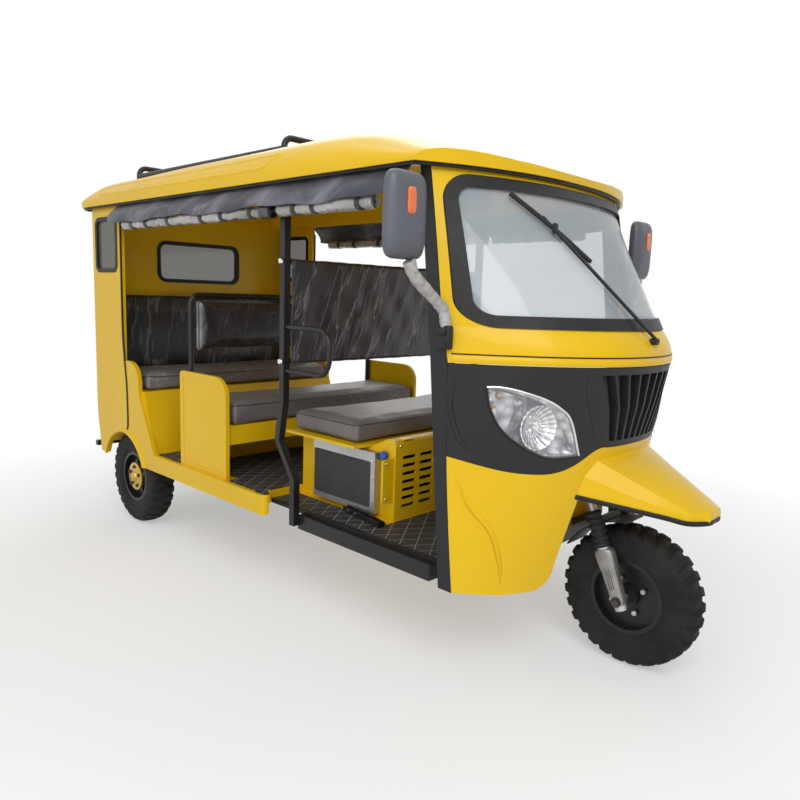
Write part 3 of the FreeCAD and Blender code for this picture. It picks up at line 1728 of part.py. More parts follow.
def driverSeat():
    rear = behind(size.cover_rear_back)
    front = behind(size.cover_front_back)
    half = size.cover_half_width
    wall = size.cover_wall
    low = size.step_top
    top = size.cover_top
    # the side outline: level below the cushion, and a hump before it
    tray_front = rear + size.driver_cushion_depth
    hump = size.hump_top
    flat = front - size.hump_flat
    outline = [
        (rear, low),
        (front, low),
        (front, hump, size.hump_round),
        (flat, hump),
        (tray_front, top),
        (rear, top),
    ]
    block = makePad("cover_block", "XZ_Plane", outline, half * 2, (0, half, 0))
    inside = [
        (rear + wall, low - size.overrun),
        (front - wall, low - size.overrun),
        (front - wall, hump - wall),
        (flat, hump - wall),
        (tray_front, top - wall),
        (rear + wall, top - wall),
    ]
    room = makePad("cover_room", "XZ_Plane", inside, (half - wall) * 2, (0, half - wall, 0))
    cutters = [room]
    for column in range(int(size.vent_columns.value)):
        y = -half + size.vent_edge + size.vent_column_pitch * column
        for index in range(int(size.vent_count.value)):
            z = size.vent_low + size.vent_pitch * index
            corner = size.vent_height * SLOT_ROUND_SHARE
            slot = rectangle(y, z, y + size.vent_width, z + size.vent_height, corner)
            name = "cover_vent_%d_%d" % (column, index)
            cutters.append(makePad(name, "YZ_Plane", slot, wall * 3, (front - wall * 2, 0, 0)))
    shell = cut("cover_shell", block, fuse("cover_cutters", cutters))
    # the ear that reaches over to the radiator's end
    ear_top = size.ear_low + size.ear_height
    ear_outline = [
        (-half, size.ear_low),
        (-half, ear_top),
        (-half - size.ear_reach, ear_top, size.ear_round),
        (-half - size.ear_reach, size.ear_low, size.ear_round),
    ]
    ear = makePad("cover_ear", "YZ_Plane", ear_outline, wall, (front - wall * 2, 0, 0))
    tray = makeBox(
        "cover_tray",
        (rear, -size.tray_half_width, top),
        (rear + size.driver_cushion_depth, size.tray_half_width, top + size.tray_wall),
    )
    keep(fuse("cover_built", [shell, tray, ear]), "engine_cover")
    seat_low = top + size.tray_wall + size.soft_gap
    cushion(
        "driver_cushion",
        (rear, -size.driver_cushion_half, seat_low),
        (rear + size.driver_cushion_depth, size.driver_cushion_half, seat_low + size.driver_cushion_height),
    )
    engine = makeBox(
        "engine_built",
        (behind(size.engine_rear_back), -size.engine_half_width, low),
        (behind(size.engine_rear_back) + size.engine_length, size.engine_half_width, low + size.engine_height),
    )
    keep(engine, "engine_block")
    rad_x = behind(size.radiator_rear_back)
    rad_y = -half - size.radiator_depth
    rad_end = rad_x + size.radiator_width
    rad_low = size.radiator_low
    rad_top = rad_low + size.radiator_height
    core_face = rad_y + size.sheet
    parts = [
        makeBox("radiator_core", (rad_x, core_face, rad_low), (rad_end, -half, rad_top)),
        makeBox("radiator_top_tank", (rad_x, rad_y, rad_top - size.radiator_tank), (rad_end, -half, rad_top)),
        makeBox("radiator_low_tank", (rad_x, rad_y, rad_low), (rad_end, -half, rad_low + size.radiator_low_tank)),
        makeBox("radiator_end_bar", (rad_end - size.radiator_bar, rad_y, rad_low), (rad_end, -half, rad_top)),
    ]
    # level tubes stand out of the core between the tanks
    span = (size.radiator_height - size.radiator_tank - size.radiator_low_tank).value
    for index in range(int(span / size.radiator_tube_pitch.value)):
        z = rad_low + size.radiator_low_tank + size.radiator_tube_pitch * index + size.radiator_tube
        parts.append(
            makeBox(
                "radiator_tube_%d" % index,
                (rad_x, core_face - size.radiator_tube_depth, z),
                (rad_end - size.radiator_bar, core_face, z + size.radiator_tube),
            )
        )
    keep(fuse("radiator_built", parts), "radiator")


driverSeat()


def middleSeat():
    rear = behind(size.seat_rear_back)
    front = behind(size.seat_front_back)
    low = size.floor_top
    wall = size.seat_side_wall
    outline = [
        (rear, low),
        (front, low),
        (front, size.seat_side_top, size.seat_side_round),
        (rear, size.seat_side_top, size.seat_side_round / 4),
    ]
    face = size.body_half_width - size.wall
    plate = makePad("seat_side_plate", "XZ_Plane", outline, wall, (0, face, 0))
    border = size.seat_side_border
    pressed = [
        (rear + border, low + border),
        (front - border, low + border),
        (front - border, size.seat_side_top - border, size.seat_side_round - border),
        (rear + border, size.seat_side_top - border),
    ]
    recess = makePad(
        "seat_side_recess", "XZ_Plane", pressed, size.seat_side_recess * 2, (0, face + size.seat_side_recess, 0)
    )
    side = cut("seat_side", plate, recess)
    half = size.body_half_width - size.wall - wall / 2
    box = makeBox("seat_box_block", (rear, -half, low), (front - wall, half, size.seat_box_top))
    room = makeBox(
        "seat_box_room",
        (rear + wall, -half + wall, low - size.overrun),
        (front - wall * 2, half - wall, size.seat_box_top - wall),
    )
    # below its lip the box is open to the front
    mouth = makeBox(
        "seat_box_mouth",
        (rear + wall * 2, -half + wall, low - size.overrun),
        (front + wall, half - wall, size.seat_box_top - size.seat_lip),
    )
    shell = cut("seat_box", box, fuse("seat_box_cutters", [room, mouth]))
    keep(fuse("seat_base_built", [side, mirrored("seat_side_right", side), shell]), "middle_seat_base")
    inner = size.body_half_width - size.wall - wall - size.soft_gap
    seat_low = size.seat_box_top + size.soft_gap
    cushion(
        "middle_seat_cushion",
        (rear + size.backrest_wall, -inner, seat_low),
        (behind(size.seat_cushion_front_back), inner, seat_low + size.seat_cushion_height),
    )
    back_x = behind(size.backrest_back + size.backrest_wall)
    outline = rectangle(
        -size.backrest_half,
        size.backrest_low,
        size.backrest_half,
        size.backrest_low + size.backrest_height,
        size.cushion_round,
    )
    back = makePad("backrest_block", "YZ_Plane", outline, size.backrest_wall, (back_x, 0, 0))
    keep(back, "middle_seat_back")


middleSeat()


def rearSeat():
    rear = behind(size.quarter_back - size.wall)
    front = behind(size.bench_front_back)
    half = size.body_half_width - size.wall
    wall = size.seat_side_wall
    low = size.floor_top
    top = size.bench_top
    slope = size.bench_slope
    outline = [(rear, low), (front + slope, low), (front, top), (rear, top)]
    box = makePad("bench_block", "XZ_Plane", outline, half * 2, (0, half, 0))
    room_half = half - wall * 7
    room_outline = [
        (rear + wall, low - size.overrun),
        (front + slope - wall * 2, low - size.overrun),
        (front - wall * 2, top - wall),
        (rear + wall, top - wall),
    ]
    room = makePad("bench_room", "XZ_Plane", room_outline, room_half * 2, (0, room_half, 0))
    shell = cut("bench_shell", box, room)
    keep(cut("bench_built", shell, wheelRoom("bench_wheel_room")), "rear_seat_base")
    inner = half - size.soft_gap
    seat_low = top + size.soft_gap
    cushion(
        "rear_seat_cushion",
        (rear + size.bench_back_wall + size.soft_gap, -inner, seat_low),
        (front, inner, seat_low + size.bench_cushion_height),
    )
    outline = rectangle(
        -inner, seat_low, inner, seat_low + size.bench_cushion_height + size.bench_back_height, size.cushion_round
    )
    back = makePad(
        "bench_back_block", "YZ_Plane", outline, size.bench_back_wall - size.soft_gap, (rear + size.soft_gap, 0, 0)
    )
    keep(back, "rear_seat_back")


rearSeat()


# Curtains

def curtains():
    x = behind(size.hoop_back) + size.rod_radius + size.soft_gap
    low = size.rod_low - size.rod_radius
    high = size.rod_high + size.rod_radius
    sheet_box = makeBox(
        "curtain_built", (x, -size.curtain_half, low), (x + size.curtain_wall, size.curtain_half, high)
    )
    keep(sheet_box, "driver_curtain")
    y = size.body_half_width + size.soft_gap
    top = size.roof_low - size.soft_gap
    flap = makeBox(
        "valance_flap",
        (behind(size.valance_rear_back), y, top - size.valance_height),
        (behind(size.valance_front_back), y + size.valance_wall, top),
    )
    roll_z = top - size.valance_height
    roll = makeCylinder(
        "valance_roll",
        size.roll_radius,
        size.roll_rear_back - size.roll_front_back,
        (behind(size.roll_rear_back), y + size.roll_radius, roll_z),
        (1, 0, 0),
    )
    left = fuse("valance_left", [flap, roll])
    keep(together("valances_built", [left, mirrored("valance_right", left)]), "side_curtains")


curtains()


# Mirrors, wiper, dashboard, lamps and exhaust

def mirrors():
    y = size.mirror_side
    half = size.mirror_width / 2
    low = size.mirror_centre - size.mirror_height / 2
    outline = rectangle(y - half, low, y + half, low + size.mirror_height, size.mirror_round)
    shell = makePad(
        "mirror_shell", "YZ_Plane", outline, size.mirror_depth,
        (behind(size.mirror_back + size.mirror_depth / 2), 0, 0),
    )
    foot_y = size.front_half_width
    foot = makeBox(
        "mirror_foot",
        (behind(size.mirror_foot_back + size.overrun * 1.5), foot_y, size.mirror_foot_height - size.overrun / 2),
        (
            behind(size.mirror_foot_back + size.overrun / 2),
            foot_y + size.mirror_arm * 2,
            size.mirror_foot_height + size.overrun / 2,
        ),
    )
    arm_x = behind(size.mirror_foot_back + size.overrun)
    arm = makeTube(
        [
            [arm_x, foot_y + size.mirror_arm, size.mirror_foot_height],
            [arm_x, foot_y + size.mirror_arm * 10, size.mirror_foot_height + size.overrun],
            [behind(size.mirror_back), y, low + size.mirror_arm],
        ],
        size.mirror_arm,
        size.mirror_arm * 4,
    )
    left = fuse("mirror_left", [shell, foot, feature("mirror_arm_built", arm)])
    keep(together("mirrors_built", [left, mirrored("mirror_right", left)]), "side_mirrors")


mirrors()


def surfaceSpot(y, z, proud):
    # a point in front of the cab's outside
    line = Part.makeLine(
        FreeCAD.Vector(front_axle.value - front_reach.value, y, z),
        FreeCAD.Vector(front_axle.value + size.nose_reach.value, y, z),
    )
    x = line.common(front_outer).BoundBox.XMax
    return FreeCAD.Vector(x + proud, y, z)


def wiper():
    radius = size.wiper_arm.value
    proud = (size.screen_seal_proud + size.wiper_arm).value
    pivot = surfaceSpot(size.wiper_pivot_y.value, size.wiper_pivot_height.value, 0)
    out = FreeCAD.Vector(pivot.x + proud * 2, pivot.y, pivot.z)
    tip = surfaceSpot(size.wiper_tip_y.value, size.wiper_tip_height.value, proud)
    boss = Part.makeCylinder(radius * 2, proud * 2, pivot, FreeCAD.Vector(1, 0, 0))
    run = tip - out
    arm = Part.makeCylinder(radius, run.Length, out, run)
    cowl_form = front_outer.copy()
    cowl_form.translate(FreeCAD.Vector(size.running_gap.value, 0, 0))
    keep(feature("wiper_built", boss.fuse(arm).cut(cowl_form)), "wiper")


wiper()


def dashboard():
    half = size.dash_half.value
    back = behind(size.dash_back).value
    low = size.dash_height.value
    depth = size.dash_back.value + size.nose_reach.value
    block = Part.makeBox(depth, half * 2, size.dash_wall.value, FreeCAD.Vector(back, -half, low))
    keep(feature("dash_built", block.common(front_inner)), "dashboard")


dashboard()


def tailLamps():
    rear = behind(size.quarter_back)
    half = size.tail_lamp_width / 2
    low = size.tail_lamp_low
    left = makeBox(
        "tail_lamp_left",
        (rear - size.tail_lamp_depth, size.tail_lamp_y - half, low),
        (rear, size.tail_lamp_y + half, low + size.tail_lamp_height),
    )
    keep(together("tail_lamps_built", [left, mirrored("tail_lamp_right", left)]), "tail_lamps")


tailLamps()


def exhaust():
    radius = size.muffler_radius
    x = behind(size.muffler_back)
    can = makeCylinder(
        "muffler_can", radius, size.muffler_length, (x, -size.muffler_y, size.muffler_height), (1, 0, 0)
    )
    hanger = makeBox(
        "muffler_hanger",
        (x + size.muffler_length / 2, -size.rail_half_gap + size.rail_width / 2, size.muffler_height),
        (x + size.muffler_length / 2 + size.overrun, -size.muffler_y, size.muffler_height + radius * 1.2),
    )
    pipe = makeCylinder(
        "muffler_pipe",
        size.pipe_radius,
        behind(size.engine_rear_back) - x,
        (x, -size.muffler_y + size.pipe_radius, size.muffler_height),
        (1, 0, 0),
    )
    keep(fuse("exhaust_built", [can, hanger, pipe]), "exhaust")


exhaust()


# Check everything, then write one file for each sub-part

doc.recompute()
bad = [item.Name for item in doc.Objects if "Invalid" in item.State or "Error" in item.State]
if bad:
    raise RuntimeError("failed objects: %s" % ", ".join(bad))
wrong = []
for item in nodes:
    shape = item.Shape
    if shape.isNull() or not shape.isValid() or not shape.Solids:
        wrong.append(item.Label)
if wrong:
    raise RuntimeError("bad shapes: %s" % ", ".join(wrong))
os.makedirs("parts", exist_ok=True)
for item in nodes:
    item.Shape.exportStep("parts/%s.step" % item.Label)
    print(item.Label, len(item.Shape.Solids), "solids", round(item.Shape.Volume / 1000), "cm3")
print(len(nodes), "nodes")
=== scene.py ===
import bmesh
import bpy
import numpy as np
from mathutils import Matrix, Vector
from mathutils.bvhtree import BVHTree


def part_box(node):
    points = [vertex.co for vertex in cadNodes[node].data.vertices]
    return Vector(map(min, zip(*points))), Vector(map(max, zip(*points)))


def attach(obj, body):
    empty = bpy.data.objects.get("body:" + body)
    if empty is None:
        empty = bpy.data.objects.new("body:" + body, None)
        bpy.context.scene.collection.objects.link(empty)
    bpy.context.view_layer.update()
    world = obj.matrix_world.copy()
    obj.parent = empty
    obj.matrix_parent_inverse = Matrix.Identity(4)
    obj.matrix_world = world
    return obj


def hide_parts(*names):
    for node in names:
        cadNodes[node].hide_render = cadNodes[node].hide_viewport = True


# Looks of a long three-wheeled passenger rickshaw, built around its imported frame.
# Metres; X forward, Y to the vehicle's left, Z up.

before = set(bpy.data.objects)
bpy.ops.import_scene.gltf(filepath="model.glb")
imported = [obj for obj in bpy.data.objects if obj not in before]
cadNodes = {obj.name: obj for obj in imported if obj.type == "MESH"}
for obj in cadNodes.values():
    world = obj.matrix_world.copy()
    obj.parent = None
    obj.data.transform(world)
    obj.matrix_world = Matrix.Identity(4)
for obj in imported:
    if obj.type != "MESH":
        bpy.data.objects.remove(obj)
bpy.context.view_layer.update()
frontAxle = 1.461
rearAxle = -1.195
axleHeight = 0.26
print("frame loaded:", len(cadNodes), "nodes")


# materials

def socketSet(shader, values):
    for socket, value in values.items():
        shader.inputs[socket].default_value = value


def blankMaterial(name):
    material = bpy.data.materials.new(name)
    material.use_nodes = True
    tree = material.node_tree
    return material, tree, tree.nodes["Principled BSDF"]


def mapped(tree, vector, scale=(1, 1, 1), turn=(0, 0, 0)):
    mapping = tree.nodes.new("ShaderNodeMapping")
    socketSet(mapping, {"Scale": scale, "Rotation": turn})
    tree.links.new(vector, mapping.inputs["Vector"])
    return mapping.outputs["Vector"]

def objectSpace(tree, turn=(0, 0, 0)):
    return mapped(tree, tree.nodes.new("ShaderNodeTexCoord").outputs["Object"], turn=turn)

def axesOf(tree, vector):
    # the X, Y and Z of a vector as three outputs
    parts = tree.nodes.new("ShaderNodeSeparateXYZ")
    tree.links.new(vector, parts.inputs[0])
    return parts.outputs

def socketOf(sockets, name, kind):
    # the socket of that name and kind, where a node has several of one name
    return [item for item in sockets if item.name == name and item.type == kind][0]

def noiseOf(tree, vector, scale, detail=3.0, rough=0.5, distortion=0.0):
    noise = tree.nodes.new("ShaderNodeTexNoise")
    socketSet(noise, {"Scale": scale, "Detail": detail, "Roughness": rough, "Distortion": distortion})
    tree.links.new(vector, noise.inputs["Vector"])
    return noise.outputs["Fac"]


def spread(tree, value, low, high, fromLow=0.3, fromHigh=0.7):
    span = tree.nodes.new("ShaderNodeMapRange")
    socketSet(span, {"From Min": fromLow, "From Max": fromHigh, "To Min": low, "To Max": high})
    tree.links.new(value, span.inputs["Value"])
    return span.outputs["Result"]


def blendOf(tree, factor, first, second):
    mix = tree.nodes.new("ShaderNodeMix")
    mix.data_type = "RGBA"
    tree.links.new(factor, mix.inputs["Factor"])
    for name, tone in (("A", first), ("B", second)):
        target = socketOf(mix.inputs, name, "RGBA")
        if isinstance(tone, bpy.types.NodeSocket):
            tree.links.new(tone, target)
        else:
            target.default_value = (*tone, 1)
    return socketOf(mix.outputs, "Result", "RGBA")


def bumpOn(tree, shader, height, strength, distance):
    bump = tree.nodes.new("ShaderNodeBump")
    socketSet(bump, {"Strength": strength, "Distance": distance})
    tree.links.new(height, bump.inputs["Height"])
    tree.links.new(bump.outputs["Normal"], shader.inputs["Normal"])


def mathOf(tree, operation, first, second=None):
    node = tree.nodes.new("ShaderNodeMath")
    node.operation = operation
    for index, value in enumerate((first, second)):
        if isinstance(value, bpy.types.NodeSocket):
            tree.links.new(value, node.inputs[index])
        elif value is not None:
            node.inputs[index].default_value = value
    return node.outputs[0]


def finishOf(name, settings):
    # colour wanders between two tones with a broad noise, roughness with a finer one, bump with the finest
    material, tree, shader = blankMaterial(name)
    vector = objectSpace(tree)
    broad = noiseOf(tree, vector, settings["patch"], 4.0)
    tree.links.new(blendOf(tree, spread(tree, broad, 0, 1), *settings["tones"]), shader.inputs["Base Color"])
    fine = noiseOf(tree, vector, settings["grain"], 3.0, 0.6)
    tree.links.new(spread(tree, fine, *settings["rough"]), shader.inputs["Roughness"])
    bumpNoise = noiseOf(tree, vector, settings["bumpScale"], 2.0, 0.5, settings.get("twist", 0.0))
    bumpOn(tree, shader, bumpNoise, settings["bump"], settings["depth"])
    socketSet(shader, settings.get("shader", {}))
    return material


finishSettings = {
    "bodyYellow": {
        "tones": ((0.76, 0.475, 0.006), (0.81, 0.515, 0.008)), "patch": 1.3, "grain": 9.0,
        "rough": (0.30, 0.38),
        "bumpScale": 260.0, "bump": 0.03, "depth": 0.0006,
        "shader": {"Coat Weight": 0.12, "Coat Roughness": 0.06, "Specular IOR Level": 0.22},
    },
    "trimBlack": {
        "tones": ((0.013, 0.013, 0.015), (0.019, 0.019, 0.021)), "patch": 4.0, "grain": 60.0,
        "rough": (0.42, 0.55),
        "bumpScale": 900.0, "bump": 0.35, "depth": 0.0006, "shader": {"Specular IOR Level": 0.32},
    },
    "frameBlack": {
        "tones": ((0.008, 0.008, 0.009), (0.014, 0.013, 0.012)), "patch": 6.0, "grain": 40.0,
        "rough": (0.3, 0.45),
        "bumpScale": 420.0, "bump": 0.12, "depth": 0.0006,
        "shader": {"Coat Weight": 0.1, "Coat Roughness": 0.2, "Specular IOR Level": 0.32},
    },
    "greyPlastic": {
        "tones": ((0.085, 0.090, 0.108), (0.105, 0.110, 0.132)), "patch": 5.0, "grain": 60.0,
        "rough": (0.35, 0.48),
        "bumpScale": 800.0, "bump": 0.2, "depth": 0.0005, "shader": {"Specular IOR Level": 0.5},
    },
    "tyreRubber": {
        "tones": ((0.010, 0.010, 0.0105), (0.024, 0.023, 0.022)), "patch": 9.0, "grain": 50.0,
        "rough": (0.62, 0.85),
        "bumpScale": 340.0, "bump": 0.25, "depth": 0.001, "shader": {"Specular IOR Level": 0.22},
    },
    "sealRubber": {
        "tones": ((0.008, 0.008, 0.009), (0.013, 0.013, 0.014)), "patch": 12.0, "grain": 60.0,
        "rough": (0.4, 0.55),
        "bumpScale": 500.0, "bump": 0.1, "depth": 0.0005, "shader": {"Specular IOR Level": 0.3},
    },
    "castAluminium": {
        "tones": ((0.46, 0.46, 0.47), (0.56, 0.56, 0.57)), "patch": 8.0, "grain": 80.0, "rough": (0.32, 0.48),
        "bumpScale": 600.0, "bump": 0.2, "depth": 0.0006, "shader": {"Metallic": 0.9},
    },
    "forkCast": {
        "tones": ((0.24, 0.235, 0.23), (0.36, 0.35, 0.34)), "patch": 26.0, "grain": 90.0, "rough": (0.38, 0.55),
        "bumpScale": 420.0, "bump": 0.35, "depth": 0.0008, "shader": {"Metallic": 0.75},
    },
    "darkSteel": {
        "tones": ((0.05, 0.05, 0.052), (0.10, 0.085, 0.07)), "patch": 7.0, "grain": 60.0, "rough": (0.45, 0.65),
        "bumpScale": 400.0, "bump": 0.25, "depth": 0.001, "shader": {"Metallic": 0.6},
    },
    "brassHub": {
        "tones": ((0.55, 0.36, 0.07), (0.62, 0.42, 0.10)), "patch": 9.0, "grain": 80.0, "rough": (0.22, 0.36),
        "bumpScale": 500.0, "bump": 0.1, "depth": 0.0005, "shader": {"Metallic": 0.9},
    },
    "engineIron": {
        "tones": ((0.08, 0.08, 0.085), (0.14, 0.14, 0.145)), "patch": 9.0, "grain": 70.0, "rough": (0.5, 0.7),
        "bumpScale": 300.0, "bump": 0.4, "depth": 0.0015, "shader": {"Metallic": 0.7},
    },
    "orangeReflector": {
        "tones": ((0.75, 0.13, 0.02), (0.85, 0.18, 0.03)), "patch": 30.0, "grain": 90.0, "rough": (0.15, 0.25),
        "bumpScale": 260.0, "bump": 0.3, "depth": 0.001, "shader": {"Coat Weight": 0.5},
    },
    "redLamp": {
        "tones": ((0.42, 0.012, 0.008), (0.5, 0.02, 0.012)), "patch": 20.0, "grain": 90.0, "rough": (0.12, 0.2),
        "bumpScale": 220.0, "bump": 0.3, "depth": 0.001, "shader": {"Coat Weight": 0.6},
    },
    "greyFoam": {
        "tones": ((0.30, 0.29, 0.275), (0.52, 0.51, 0.49)), "patch": 60.0, "grain": 90.0, "rough": (0.35, 0.6),
        "bumpScale": 110.0, "bump": 0.6, "depth": 0.003, "twist": 1.2, "shader": {"Subsurface Weight": 0.1},
    },
    "bootRubber": {
        "tones": ((0.010, 0.010, 0.011), (0.017, 0.017, 0.018)), "patch": 14.0, "grain": 70.0,
        "rough": (0.5, 0.68),
        "bumpScale": 300.0, "bump": 0.2, "depth": 0.0006, "shader": {"Specular IOR Level": 0.4},
    },
    "brightTrim": {
        "tones": ((0.72, 0.72, 0.73), (0.82, 0.82, 0.83)), "patch": 12.0, "grain": 90.0, "rough": (0.12, 0.24),
        "bumpScale": 500.0, "bump": 0.06, "depth": 0.0005, "shader": {"Metallic": 1.0},
    },
    "mirrorSilver": {
        "tones": ((0.78, 0.80, 0.82), (0.84, 0.86, 0.88)), "patch": 3.0, "grain": 12.0, "rough": (0.03, 0.07),
        "bumpScale": 30.0, "bump": 0.01, "depth": 0.0005, "shader": {"Metallic": 1.0},
    },
    "amberGlass": {
        "tones": ((0.42, 0.17, 0.05), (0.55, 0.24, 0.08)), "patch": 40.0, "grain": 90.0, "rough": (0.1, 0.2),
        "bumpScale": 300.0, "bump": 0.2, "depth": 0.0005, "shader": {"Coat Weight": 0.8},
    },
    "strapWeb": {
        "tones": ((0.012, 0.012, 0.014), (0.022, 0.022, 0.025)), "patch": 30.0, "grain": 90.0,
        "rough": (0.5, 0.7),
        "bumpScale": 700.0, "bump": 0.5, "depth": 0.0006, "shader": {"Sheen Weight": 0.2},
    },
    "weltBlack": {
        "tones": ((0.03, 0.031, 0.033), (0.05, 0.051, 0.054)), "patch": 30.0, "grain": 90.0,
        "rough": (0.35, 0.5),
        "bumpScale": 600.0, "bump": 0.3, "depth": 0.0005, "shader": {"Coat Weight": 0.3},
    },
    "blueCap": {
        "tones": ((0.02, 0.09, 0.42), (0.03, 0.11, 0.5)), "patch": 20.0, "grain": 60.0, "rough": (0.3, 0.4),
        "bumpScale": 300.0, "bump": 0.1, "depth": 0.0005, "shader": {},
    },
}
finishes = {name: finishOf(name, settings) for name, settings in finishSettings.items()}


def glassOf(name, settings):
    # thin glass: part of it shows what lies behind; colour and cover run from a darker, denser tone at the rear to a
    # pale milky one at the front, whose paleness is a painted reflection
    material, tree, shader = blankMaterial(name)
    place = objectSpace(tree)
    wander = noiseOf(tree, place, settings["patch"])
    tree.links.new(spread(tree, wander, *settings["rough"]), shader.inputs["Roughness"])
    ahead = spread(tree, axesOf(tree, place)["X"], 0, 1, *settings["span"])
    rearTone = blendOf(tree, wander, *settings["rear"])
    frontReflectionTone = blendOf(tree, wander, *settings["front"])
    tree.links.new(blendOf(tree, ahead, rearTone, frontReflectionTone), shader.inputs["Base Color"])
    tree.links.new(spread(tree, ahead, *settings["cover"], 0, 1), shader.inputs["Alpha"])
    socketSet(shader, {"IOR": 1.45, "Specular IOR Level": 0.6})
    return material


# rear: darker tones and a denser cover towards the rear; front: pale tones over the windscreen, a painted reflection
glassSettings = {
    "clearGlass": {
        "patch": 3.0, "rough": (0.03, 0.048), "span": (-0.9, 0.6), "cover": (0.66, 0.50),
        "rear": ((0.10, 0.11, 0.09), (0.20, 0.21, 0.18)), "front": ((0.40, 0.46, 0.50), (0.58, 0.63, 0.66)),
    },
    "lampLens": {
        "patch": 6.0, "rough": (0.02, 0.032), "span": (-0.9, 0.6), "cover": (0.10, 0.10),
        "rear": ((0.85, 0.87, 0.9), (0.9, 0.92, 0.95)), "front": ((0.85, 0.87, 0.9), (0.9, 0.92, 0.95)),
    },
}
for glassName, settings in glassSettings.items():
    finishes[glassName] = glassOf(glassName, settings)


def facetedMetal(name, settings):
    # bright metal broken into cells, each tilted its own way by the bump of its cell distance; its colour runs from
    # bright at each cell's middle to dark at its edges, a painted reflection of the facets
    material, tree, shader = blankMaterial(name)
    vector = objectSpace(tree)
    cells = tree.nodes.new("ShaderNodeTexVoronoi")
    cells.inputs["Scale"].default_value = settings["cells"]
    tree.links.new(vector, cells.inputs["Vector"])
    distance = cells.outputs["Distance"]
    tone = blendOf(tree, spread(tree, distance, 0, 1, *settings["falls"]), *settings["tones"])
    tree.links.new(tone, shader.inputs["Base Color"])
    grain = noiseOf(tree, vector, settings["grain"])
    tree.links.new(spread(tree, grain, *settings["rough"]), shader.inputs["Roughness"])
    bumpOn(tree, shader, distance, settings["bump"], settings["depth"])
    shader.inputs["Metallic"].default_value = 1.0
    return material

# tones: bright at the cells' middles and dark at their edges, painted reflections
bowlSettings = {
    "cells": 30.0, "falls": (0.0, 0.8), "tones": ((0.80, 0.81, 0.83), (0.16, 0.16, 0.17)),
    "grain": 40.0, "rough": (0.08, 0.2), "bump": 0.5, "depth": 0.006,
}
finishes["lampBowl"] = facetedMetal("lampBowl", bowlSettings)
# tones: bright on the raised flutes and rings, dark between them, painted reflections
dishSettings = {
    "centreY": 0.414, "centreZ": 0.899, "flutes": 22.0, "rings": 55.0, "ringShare": 0.35, "falls": (0.0, 0.75),
    "tones": ((0.97, 0.97, 0.98), (0.30, 0.30, 0.31)), "grain": 60.0, "rough": (0.08, 0.16),
    "bump": 0.7, "depth": 0.006,
}

def dishMetal(name, settings):
    # bright dish: flutes by the angle about its centre, stepped rings by the distance from it; its colour is bright
    # on the raised parts and dark in the low ones, a painted reflection
    material, tree, shader = blankMaterial(name)
    axes = axesOf(tree, objectSpace(tree))
    side = mathOf(tree, "SUBTRACT", mathOf(tree, "ABSOLUTE", axes["Y"]), settings["centreY"])
    level = mathOf(tree, "SUBTRACT", axes["Z"], settings["centreZ"])
    angle = mathOf(tree, "MULTIPLY", mathOf(tree, "ARCTAN2", level, side), settings["flutes"] / (2 * np.pi))
    flute = mathOf(tree, "ABSOLUTE", mathOf(tree, "SUBTRACT", mathOf(tree, "FRACT", angle), 0.5))
    squares = mathOf(tree, "ADD", mathOf(tree, "MULTIPLY", side, side), mathOf(tree, "MULTIPLY", level, level))
    ring = mathOf(tree, "FRACT", mathOf(tree, "MULTIPLY", mathOf(tree, "SQRT", squares), settings["rings"]))
    height = mathOf(tree, "ADD", flute, mathOf(tree, "MULTIPLY", ring, settings["ringShare"]))
    tone = blendOf(tree, spread(tree, height, 1, 0, *settings["falls"]), *settings["tones"])
    tree.links.new(tone, shader.inputs["Base Color"])
    grain = noiseOf(tree, objectSpace(tree), settings["grain"])
    tree.links.new(spread(tree, grain, *settings["rough"]), shader.inputs["Roughness"])
    bumpOn(tree, shader, height, settings["bump"], settings["depth"])
    shader.inputs["Metallic"].default_value = 1.0
    return material

finishes["lampDish"] = dishMetal("lampDish", dishSettings)


def creasedPlastic(name, settings):
    # dull clear sheet: a body tone with painted highlights, bright lines along the edges of stretched cells where the
    # creases catch the light
    material, tree, shader = blankMaterial(name)
    facing = objectSpace(tree, settings.get("turn", (0, 0, 0)))
    vector = mapped(tree, facing, settings["stretch"])
    cells = tree.nodes.new("ShaderNodeTexVoronoi")
    cells.feature = "DISTANCE_TO_EDGE"
    cells.inputs["Scale"].default_value = settings["cells"]
    shift = noiseOf(tree, vector, settings["cells"] * 0.8, 3.0, 0.6, 1.0)
    warped = tree.nodes.new("ShaderNodeMix")
    warped.data_type = "VECTOR"
    warped.inputs["Factor"].default_value = 0.25
    tree.links.new(vector, socketOf(warped.inputs, "A", "VECTOR"))
    tree.links.new(shift, socketOf(warped.inputs, "B", "VECTOR"))
    tree.links.new(socketOf(warped.outputs, "Result", "VECTOR"), cells.inputs["Vector"])
    crease = spread(tree, cells.outputs["Distance"], 1.0, 0.0, 0.0, settings["line"])
    patches = noiseOf(tree, vector, settings["patches"], 3.0, 0.5, 0.4)
    sparseHighlight = mathOf(tree, "MULTIPLY", crease, spread(tree, patches, 0.0, 1.0, *settings.get("sparseHighlight", (0.5, 0.7))))
    # a painted highlight that brightens towards the pad's sides, broken by the patches
    if "edge" in settings:
        sideways = mathOf(tree, "ABSOLUTE", axesOf(tree, objectSpace(tree))["Y"])
        rim = spread(tree, sideways, 0, 0.9, *settings["edge"])
        broken = spread(tree, patches, 0.2, 1.0, 0.4, 0.6)
        sparseHighlight = mathOf(tree, "MAXIMUM", sparseHighlight, mathOf(tree, "MULTIPLY", rim, broken))
    body = blendOf(tree, spread(tree, patches, 0, 1, 0.35, 0.7), *settings["tones"])
    tree.links.new(blendOf(tree, sparseHighlight, body, settings["bright"]), shader.inputs["Base Color"])
    tree.links.new(spread(tree, patches, *settings["rough"]), shader.inputs["Roughness"])
    height = mathOf(tree, "ADD", mathOf(tree, "MULTIPLY", crease, 0.5), shift)
    bumpOn(tree, shader, height, settings["bump"], settings["depth"])
    socketSet(shader, settings["shader"])
    return material
